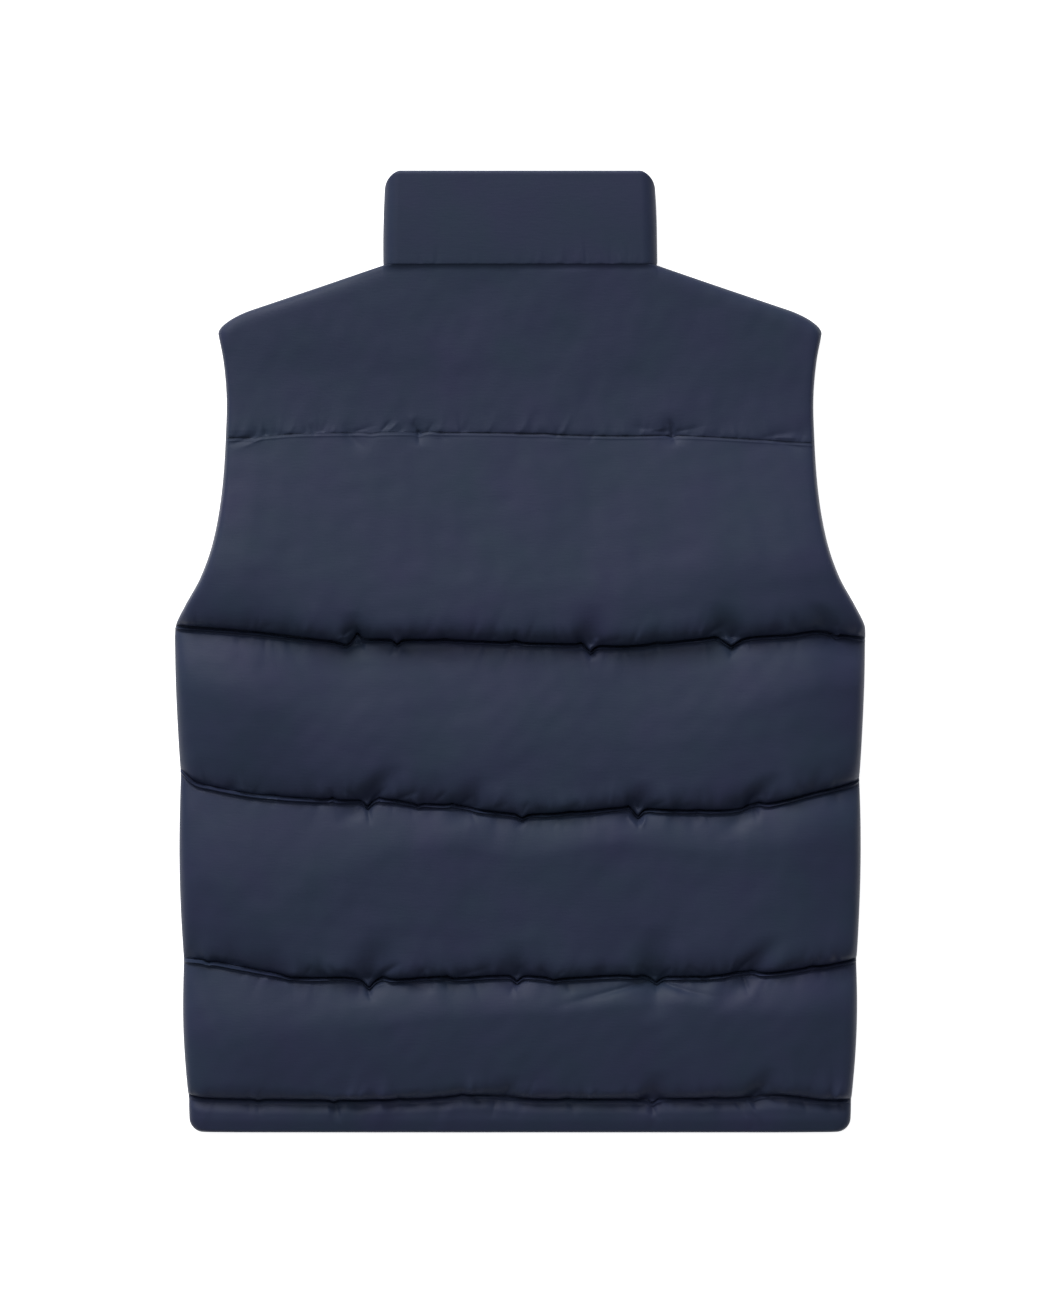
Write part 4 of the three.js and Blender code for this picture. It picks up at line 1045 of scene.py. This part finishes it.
@dataclass(frozen=True)
class Collar:
    """The stand collar: one padded band, folded flat at both sides. Sizes in millimetres."""

    cut: Cut = Cut()
    cells: tuple[int, int] = (72, 8)
    cuts: int = 5
    layer: float = 12.0
    corner: float = 13.0
    narrowing: float = 1.7
    seam_thick: float = 11.3
    crown: float = 0.5
    top_round: float = 3.0
    neck_round: float = 4.0
    tape_room: float = 15.2
    recess: float = 1.8
    fill: float = 0.5
    puckers: Puckers = Puckers(500, 60, 0.25, 6.0)
    lumps: Lumps = Lumps(510, 0.16)
    puckers_closer: float = 2.4
    front_apart: float = 300.0
    wave_from_top: float = 8.0
    corner_left: float = 0.1
    top_left: float = 0.02

    def place(self, across: Real, up: Real, outer: Real) -> Places:
        """Places the band's points, from the zip round the back of the neck to the zip again."""
        cut = self.cut
        radius = cut.layer_neck - self.layer / 2.0
        turn_x = cut.neck_half - radius - self.layer / 2.0
        front_run = turn_x - cut.zip_edge
        fold_run = math.pi * radius
        half_run = turn_x + fold_run + front_run
        run = np.abs(across) * half_run
        side = np.where(across < 0.0, -1.0, 1.0)
        angle = math.pi / 2.0 - unit((run - turn_x) / fold_run) * math.pi
        on_front = run > turn_x + fold_run
        folding = (run > turn_x) & ~on_front
        x = np.where(on_front, half_run - run + cut.zip_edge, np.minimum(run, turn_x))
        x = x + np.where(folding, radius * np.cos(angle), 0.0)
        z = cut.layer_neck + radius * np.sin(angle)
        out_x = np.where(folding, np.cos(angle), 0.0)
        out_z = np.where(folding, np.sin(angle), np.where(on_front, -1.0, 1.0))

        forward = angle < 0.0
        base = np.where(forward, cut.front_neck(x), cut.neck_y) + cut.seam_gap
        silhouette = x + out_x * self.layer / 2.0
        near = np.clip(silhouette - cut.neck_half + self.corner, 0.0, self.corner - self.corner_left)
        corner_cut = self.corner - np.sqrt(self.corner**2 - near**2)
        height = cut.top_y - cut.neck_y - cut.seam_gap - corner_cut
        warped = smoothstep(up, 0.0, 1.0)
        from_seam, from_top = warped * height, (1.0 - warped) * height
        reach = self.layer / 2.0 + self.crown * np.sin(math.pi * warped)
        at_seam = lerp(self.seam_thick / 2.0, reach, round_over(from_seam, self.neck_round))
        offset = at_seam * round_over(from_top + self.top_left, self.top_round)
        wave = self.puckers.height(side * x * self.puckers_closer, from_seam)
        wave = wave + self.lumps.height(side * x + self.front_apart * forward, warped * height)
        recess = np.where(on_front & (x <= self.tape_room), self.recess, 0.0)
        swelled = offset + wave * unit(from_top / self.wave_from_top)
        step = np.where(outer, swelled, np.minimum(recess - offset, 0.0))
        lean = self.narrowing * warped * unit(x / cut.neck_half)
        z = z + out_z * step
        return side * (x + out_x * step - lean), base + warped * height, np.maximum(z, 0.0)

    def build(self, cloth: Material) -> Piece:
        """Builds and dresses the collar."""
        return padded_piece("collar", self.cells, self.cuts, self.place, cloth)


# Zip


@dataclass(frozen=True)
class Zip:
    """The closed zip under the fronts' edges. Sizes in millimetres."""

    cut: Cut = Cut()
    tape_half: float = 13.5
    tape_thick: float = 1.2
    tape_top_y: float = 335.0
    tape_bottom_y: float = -397.4
    tape_step: float = 8.0
    tape_columns: int = 12
    pitch: float = 2.6
    tooth: tuple[float, float, float] = (3.6, 1.2, 2.4)
    tooth_x: float = 1.15
    tooth_neck_x: float = 1.0
    tooth_head: tuple[float, float, float] = (1.0, 1.35, 0.8)
    foot: float = 2.0
    box_half: float = 4.0
    box_height: float = 10.0
    box_thick: float = 3.4
    slider_half: float = 4.6
    slider_length: float = 12.0
    slider_thick: float = 3.4
    slider_wall: float = 0.9
    slider_y: float = 318.3
    core_half: float = 2.0
    core_from: float = 5.0
    core_to: float = 11.4
    flange_x: Span = (3.6, 4.5)
    flange_y: Span = (0.8, 8.0)
    bridge_from: float = 1.9
    bridge_length: float = 5.8
    bridge_half: float = 1.2
    bridge_post: float = 1.2
    bridge_drop: float = 2.9
    hinge_from: float = 2.4
    pull_half: float = 3.2
    pull_length: float = 27.0
    pull_thick: float = 1.0
    pull_slot: Span = (2.0, 3.9)
    pull_top: float = 0.5
    pull_soft: float = 0.22

    def face(self, y: float) -> float:
        """Height of the tape's outer face at y."""
        return float(self.cut.parting(np.zeros(1), np.array([y]))[0]) - self.under_tape

    @property
    def under_tape(self) -> float:
        """From the parting surface down to the tape's outer face."""
        return self.cut.layer_gap + self.cut.seam_gap / 2.0 + self.tape_thick

    @property
    def slider_face(self) -> float:
        """Height of the slider's outer face, from which its bridge stands down."""
        return self.cut.layer_neck - self.under_tape - self.cut.seam_gap - self.slider_thick

    def tape(self, cloth: Material) -> Piece:
        """The tape: one thin woven strip."""
        long = self.tape_top_y - self.tape_bottom_y
        shape = bmesh.new()
        rows = round(long / self.tape_step)
        bmesh.ops.create_grid(shape, x_segments=self.tape_columns, y_segments=rows, size=1.0)
        thicken(shape, 1.0)
        for vert in shape.verts:
            x, across, top = vert.co
            y = self.tape_bottom_y + (across + 1.0) / 2.0 * long
            vert.co = Vector((x * self.tape_half, y, self.face(y) + top * self.tape_thick)) * MM
        piece = closed_piece("zip_tape_cloth", shape, "zip_tape", cloth)
        return piece

    def teeth(self, cloth: Material) -> Piece:
        """Both rows of teeth, meshed with each other in turn."""
        shape = bmesh.new()
        start = self.cut.hem_y + self.foot + self.box_height + self.cut.seam_gap + self.pitch / 2.0
        stop = self.slider_y - self.cut.seam_gap - self.pitch / 2.0
        size = Matrix.Diagonal((Vector(self.tooth) * MM).to_4d())
        for index, y in enumerate(np.arange(start, stop, self.pitch / 2.0)):
            side = 1.0 if index % 2 else -1.0
            middle = self.face(y) - self.cut.seam_gap - self.tooth[2] / 2.0
            place = Matrix.Translation(Vector((side * self.tooth_x, y, middle)) * MM)
            made = bmesh.ops.create_cube(shape, size=1.0, matrix=place @ size)["verts"]
            head = [vert for vert in made if vert.co.x * side < self.tooth_neck_x * MM]
            about = Matrix.Translation(-place.translation)
            bmesh.ops.scale(shape, vec=self.tooth_head, space=about, verts=head)
        return closed_piece("zip_teeth", shape, "zip_chain", cloth)

    def plate(self, shape: Shape, x: Span, y: Span, z: Span, corner: float, edge: float) -> None:
        """Adds a plate with rounded upright corners and softened edges.

        Args:
            shape: the bmesh that takes it.
            x: from where to where it goes across, in millimetres.
            y: the same along the zip.
            z: the same in height.
            corner: radius of its four upright corners.
            edge: width of the softening on every other edge.
        """
        low, high = (Vector(end) for end in zip(x, y, z))
        matrix = Matrix.Translation((low + high) / 2.0 * MM) @ Matrix.Diagonal(((high - low) * MM).to_4d())
        made = bmesh.ops.create_cube(shape, size=1.0, matrix=matrix)["verts"]
        sides = {e for v in made for e in v.link_edges if abs(e.verts[0].co.z - e.verts[1].co.z) > LEVEL}
        softening = {"profile": 0.5, "affect": "EDGES", "material": -1}
        sides = in_order(shape, sides)
        rounded = bmesh.ops.bevel(shape, geom=sides, offset=corner * MM, segments=4, **softening)
        faces = {f for v in rounded["verts"] for f in v.link_faces}
        rims = {e for f in faces for e in f.edges if abs(e.verts[0].co.z - e.verts[1].co.z) < LEVEL}
        rims = [e for e in in_order(shape, rims) if e.calc_face_angle(0.0) > TURNED]
        bmesh.ops.bevel(shape, geom=rims, offset=edge * MM, segments=2, **softening)

    def box(self, metal: Material) -> Piece:
        """The box at the foot of the zip."""
        y = self.cut.hem_y + self.foot
        top = self.face(y) - self.cut.seam_gap
        shape = bmesh.new()
        across = (-self.box_half, self.box_half)
        self.plate(shape, across, (y, y + self.box_height), (top - self.box_thick, top), 1.2, 0.5)
        return closed_piece("zip_box_metal", shape, "zip_box", metal)

    def slider(self, metal: Material) -> Piece:
        """The slider: two plates that hold the teeth, and the bridge that the pull hangs from."""
        shape = bmesh.new()
        y0, wall = self.slider_y, self.slider_wall
        low, high = self.slider_face, self.slider_face + self.slider_thick
        across, along = (-self.slider_half, self.slider_half), (y0, y0 + self.slider_length)
        self.plate(shape, across, along, (low, low + wall), 1.6, 0.3)
        self.plate(shape, across, along, (high - wall, high), 1.6, 0.3)
        core_y = (y0 + self.core_from, y0 + self.core_to)
        self.plate(shape, (-self.core_half, self.core_half), core_y, (low + 0.7, high - 0.7), 0.6, 0.1)
        flange_y = (y0 + self.flange_y[0], y0 + self.flange_y[1])
        for side in (-1.0, 1.0):
            flange_x = sorted((side * self.flange_x[0], side * self.flange_x[1]))
            self.plate(shape, flange_x, flange_y, (low + 0.5, high - 0.5), 0.2, 0.08)
        bridge = (-self.bridge_half, self.bridge_half)
        b0, b1 = y0 + self.bridge_from, y0 + self.bridge_from + self.bridge_length
        foot = low - self.bridge_drop
        self.plate(shape, bridge, (b0, b1), (foot, foot + wall), 0.3, 0.25)
        for start in (b0, b1 - self.bridge_post):
            self.plate(shape, bridge, (start, start + self.bridge_post), (foot + 0.4, low + 0.3), 0.25, 0.1)
        return closed_piece("zip_slider_metal", shape, "zip_slider", metal)

    def pull(self, metal: Material) -> Piece:
        """The pull tab: a flat bar with an eye, hanging from the bridge."""
        slot_half, slot_length = self.pull_slot
        half, thick = self.pull_half, self.pull_thick / 2.0
        tops = (self.pull_top, -self.pull_top, -self.pull_top - slot_length, -self.pull_length)
        columns = (-half, -slot_half, slot_half, half)
        shape = bmesh.new()
        bmesh.ops.create_grid(shape, x_segments=3, y_segments=3, size=1.0)
        middle = [face for face in shape.faces if face.calc_center_median().length < LEVEL]
        bmesh.ops.delete(shape, geom=middle, context="FACES")
        for vert in shape.verts:
            column, row = round((vert.co.x + 1.0) * 1.5), round((1.0 - vert.co.y) * 1.5)
            vert.co = Vector((columns[column], tops[row], -thick))
        thicken(shape, 2.0 * thick)
        bmesh.ops.recalc_face_normals(shape, faces=list(shape.faces))
        sharp = [edge for edge in shape.edges if edge.calc_face_angle(0.0) > TURNED]
        bmesh.ops.bevel(
            shape, geom=sharp, offset=self.pull_soft, segments=2, profile=0.5, affect="EDGES", material=-1,
        )
        hang = (self.bridge_drop - self.slider_wall) / 2.0
        axis = Vector((0.0, self.slider_y + self.bridge_from + self.hinge_from, self.slider_face - hang))
        tilt = math.asin((axis.z - thick) / self.pull_length)
        turn = Matrix.Translation(axis * MM) @ Matrix.Rotation(tilt, 4, "X") @ Matrix.Scale(MM, 4)
        bmesh.ops.transform(shape, matrix=turn, verts=shape.verts)
        return closed_piece("zip_pull_metal", shape, "zip_pull", metal, "pull_tab")

    def build(self, cloth: Material, metal: Material) -> list[Piece]:
        """Builds and dresses every part of the zip."""
        made = [self.tape(cloth), self.teeth(cloth), self.box(metal)]
        return made + [self.slider(metal), self.pull(metal)]


# Finishes


Input = "float | Colour | Socket | Value"


class Value:
    """A number that varies over a surface: sums with it add Math nodes."""

    def __init__(self, nodes: "Nodes", socket: Socket) -> None:
        """Wraps a socket."""
        self.nodes = nodes
        self.socket = socket

    def _sum(self, operation: str, first: Input, second: Input) -> "Value":
        """One Math node."""
        node = self.nodes.add("ShaderNodeMath", {"operation": operation}, {0: first, 1: second})
        return Value(self.nodes, node.outputs[0])

    def __add__(self, other: Input) -> "Value":
        """This plus other."""
        return self._sum("ADD", self, other)

    def __radd__(self, other: Input) -> "Value":
        """Other plus this."""
        return self._sum("ADD", other, self)

    def __sub__(self, other: Input) -> "Value":
        """This less other."""
        return self._sum("SUBTRACT", self, other)

    def __rsub__(self, other: Input) -> "Value":
        """Other less this."""
        return self._sum("SUBTRACT", other, self)

    def __mul__(self, other: Input) -> "Value":
        """This times other."""
        return self._sum("MULTIPLY", self, other)

    def __rmul__(self, other: Input) -> "Value":
        """Other times this."""
        return self._sum("MULTIPLY", other, self)


class Nodes:
    """The nodes of one material, which ends in a Principled shader."""

    def __init__(self, name: str) -> None:
        """Starts a material with nothing but its output and shader."""
        self.material = bpy.data.materials.new(name)
        self.material.use_nodes = True
        self.tree = self.material.node_tree
        self.tree.nodes.clear()
        self.shader = self.add("ShaderNodeBsdfPrincipled")
        self.add("ShaderNodeOutputMaterial", inputs={"Surface": self.shader.outputs[0]})

    def add(self, kind: str, settings: dict | None = None, inputs: dict | None = None) -> bpy.types.Node:
        """Adds a node.

        Args:
            kind: the node's type.
            settings: its own settings.
            inputs: values or links of its sockets.

        Returns:
            The node.
        """
        node = self.tree.nodes.new(kind)
        for key, value in (settings or {}).items():
            setattr(node, key, value)
        self.link(node, inputs or {})
        return node

    def link(self, node: bpy.types.Node, inputs: dict) -> None:
        """Gives values or links to a node's sockets."""
        for key, value in inputs.items():
            if isinstance(value, Value):
                value = value.socket
            if isinstance(value, Socket):
                self.tree.links.new(value, node.inputs[key])
            else:
                node.inputs[key].default_value = value

    def places(self, stretch: Colour = (1.0, 1.0, 1.0)) -> Socket:
        """Places on the object in metres, stretched along each axis."""
        coordinates = self.add("ShaderNodeTexCoord").outputs["Object"]
        mapping = self.add("ShaderNodeMapping", {}, {"Vector": coordinates, "Scale": stretch})
        return mapping.outputs[0]

    def noise(self, places: Socket, length: float, detail: float = 2.0) -> Value:
        """Smooth noise whose features are about length metres long."""
        inputs = {"Vector": places, "Scale": 1.0 / length, "Detail": detail, "Roughness": 0.5}
        return Value(self, self.add("ShaderNodeTexNoise", {}, inputs).outputs[0])

    def threads(self, places: Socket, direction: str, pitch: float) -> Value:
        """Parallel threads that are pitch metres apart."""
        settings = {"wave_type": "BANDS", "bands_direction": direction}
        inputs = {"Vector": places, "Scale": math.pi / (10.0 * pitch)}
        return Value(self, self.add("ShaderNodeTexWave", settings, inputs).outputs["Fac"])

    def mix(self, factor: Value, first: Colour, second: Colour) -> Socket:
        """A colour between two colours."""
        inputs = {0: factor, 6: (*first, 1.0), 7: (*second, 1.0)}
        return self.add("ShaderNodeMix", {"data_type": "RGBA"}, inputs).outputs[2]

    def bumped(self, height: Value, distance: float, strength: float, under: Input = None) -> Socket:
        """A normal bent by a height, on top of another normal where one is given."""
        inputs = {"Height": height, "Distance": distance, "Strength": strength}
        if under is not None:
            inputs["Normal"] = under
        return self.add("ShaderNodeBump", {}, inputs).outputs[0]


@dataclass(frozen=True)
class WovenCloth:
    """Plain woven nylon with a soft sheen, in two tones of one colour."""

    name: str
    deep: Colour
    light: Colour
    roughness: float
    sheen: float
    gloss: float = 0.13
    thread: float = 0.00045
    crinkle: float = 0.15

    def material(self) -> Material:
        """Makes the finish."""
        nodes = Nodes(self.name)
        here = nodes.places()
        streaks = nodes.places((1.0, 5.0, 1.0))
        tone = 1.6 * nodes.noise(here, 0.05, 3.0) - 0.3
        weave = nodes.threads(here, "X", self.thread) + nodes.threads(here, "Y", self.thread)
        sheer = nodes.noise(streaks, 0.02, 4.0)
        crease = nodes.noise(here, 0.016, 3.0) + 0.5 * nodes.noise(streaks, 0.008, 2.0)
        crumpled = nodes.bumped(crease, 0.0011, self.crinkle)
        normal = nodes.bumped(weave, 0.00004, 0.35, crumpled)
        nodes.link(nodes.shader, {
            "Base Color": nodes.mix(tone, self.deep, self.light),
            "Roughness": self.roughness - 0.05 + 0.1 * sheer,
            "Specular IOR Level": self.gloss,
            "Sheen Weight": self.sheen,
            "Sheen Roughness": 0.35,
            "Sheen Tint": (0.9, 0.93, 1.0, 1.0),
            "Normal": normal,
        })
        return nodes.material


@dataclass(frozen=True)
class DarkMetal:
    """Painted zinc of the zip, worn a little."""

    name: str = "dark_zip_metal"
    colour: Colour = (0.03, 0.032, 0.04)
    worn: Colour = (0.075, 0.078, 0.088)
    roughness: float = 0.36

    def material(self) -> Material:
        """Makes the finish."""
        nodes = Nodes(self.name)
        here = nodes.places()
        wear = nodes.noise(here, 0.003, 4.0)
        grain = nodes.noise(here, 0.0004, 2.0)
        nodes.link(nodes.shader, {
            "Base Color": nodes.mix(wear, self.colour, self.worn),
            "Roughness": self.roughness + 0.12 * wear,
            "Metallic": 0.8,
            "Normal": nodes.bumped(grain, 0.00002, 0.4),
        })
        return nodes.material


@dataclass(frozen=True)
class PaleFloor:
    """A pale, matt studio floor."""

    name: str = "pale_floor"
    tone: float = 0.9
    glow: float = 0.95

    def material(self) -> Material:
        """Makes the finish."""
        nodes = Nodes(self.name)
        shade = (self.tone, self.tone, self.tone, 1.0)
        nodes.link(nodes.shader, {
            "Base Color": shade,
            "Roughness": 0.9,
            "Emission Color": shade,
            "Emission Strength": self.glow,
        })
        return nodes.material


# Studio


@dataclass(frozen=True)
class Lamp:
    """A soft square lamp: where it stands, what it points at, its size and power."""

    name: str
    place: tuple[float, float, float]
    size: float
    power: float


@dataclass(frozen=True)
class Studio:
    """Floor, lamps, soft surroundings and the camera straight above. Sizes in metres."""

    floor_half: float = 6.0
    camera_height: float = 3.4
    subject_height: float = 0.012
    sensor: float = 36.0
    surroundings: float = 0.25
    lamps: tuple[Lamp, ...] = (
        Lamp("key_lamp", (-3.2, 7.4, 4.4), 4.4, 770.0),
        Lamp("high_lamp", (-1.3, 2.3, 5.4), 2.8, 84.0),
    )

    def floor(self) -> None:
        """Lays the floor."""
        shape = bmesh.new()
        bmesh.ops.create_grid(shape, x_segments=1, y_segments=1, size=self.floor_half)
        mesh = bpy.data.meshes.new("floor")
        shape.to_mesh(mesh)
        shape.free()
        piece = bpy.data.objects.new("floor", mesh)
        bpy.context.collection.objects.link(piece)
        piece.data.materials.append(PaleFloor().material())

    def light(self) -> None:
        """Sets the lamps and the soft light all round."""
        for lamp in self.lamps:
            data = bpy.data.lights.new(lamp.name, "AREA")
            data.shape = "SQUARE"
            data.size = lamp.size
            data.energy = lamp.power
            item = bpy.data.objects.new(lamp.name, data)
            item.location = lamp.place
            item.rotation_euler = (-Vector(lamp.place)).to_track_quat("-Z", "Y").to_euler()
            bpy.context.collection.objects.link(item)
        world = bpy.data.worlds.new("surroundings")
        world.use_nodes = True
        background = world.node_tree.nodes["Background"]
        background.inputs["Color"].default_value = (1.0, 1.0, 1.0, 1.0)
        background.inputs["Strength"].default_value = self.surroundings
        bpy.context.scene.world = world

    def camera(self) -> None:
        """Hangs the camera over the point that the photograph is centred on."""
        data = bpy.data.cameras.new("camera")
        data.sensor_fit = "AUTO"
        data.sensor_width = self.sensor
        tall = PHOTO_SIZE[1] * PHOTO_MM_PER_PIXEL * MM
        data.lens = self.sensor * (self.camera_height - self.subject_height) / tall
        item = bpy.data.objects.new("camera", data)
        item.location = (0.0, 1.5 * PHOTO_MM_PER_PIXEL * MM, self.camera_height)
        bpy.context.collection.objects.link(item)
        bpy.context.scene.camera = item

    def build(self) -> None:
        """Sets up everything around the vest."""
        self.floor()
        self.light()
        self.camera()
        bpy.context.scene.view_settings.view_transform = "Standard"


NAVY_CLOTH = WovenCloth("navy_cloth", (0.0258, 0.0293, 0.0670), (0.0212, 0.0340, 0.0593), 0.5, 0.0)
ZIP_TAPE_CLOTH = WovenCloth(
    "zip_tape_cloth", (0.015, 0.018, 0.032), (0.022, 0.026, 0.044), 0.72, 0.1, thread=0.0008, crinkle=0.05,
)


def main() -> None:
    """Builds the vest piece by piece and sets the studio."""
    logging.basicConfig(level=logging.INFO, format="%(name)s: %(message)s")
    cloth = NAVY_CLOTH.material()
    made = Back().build(cloth)
    for side in Side:
        made += Front(side).build(cloth)
    made.append(Collar().build(cloth))
    made += Zip().build(ZIP_TAPE_CLOTH.material(), DarkMetal().material())
    log.info("%d pieces", len(made))
    Studio().build()


if __name__ == "__main__":
    main()
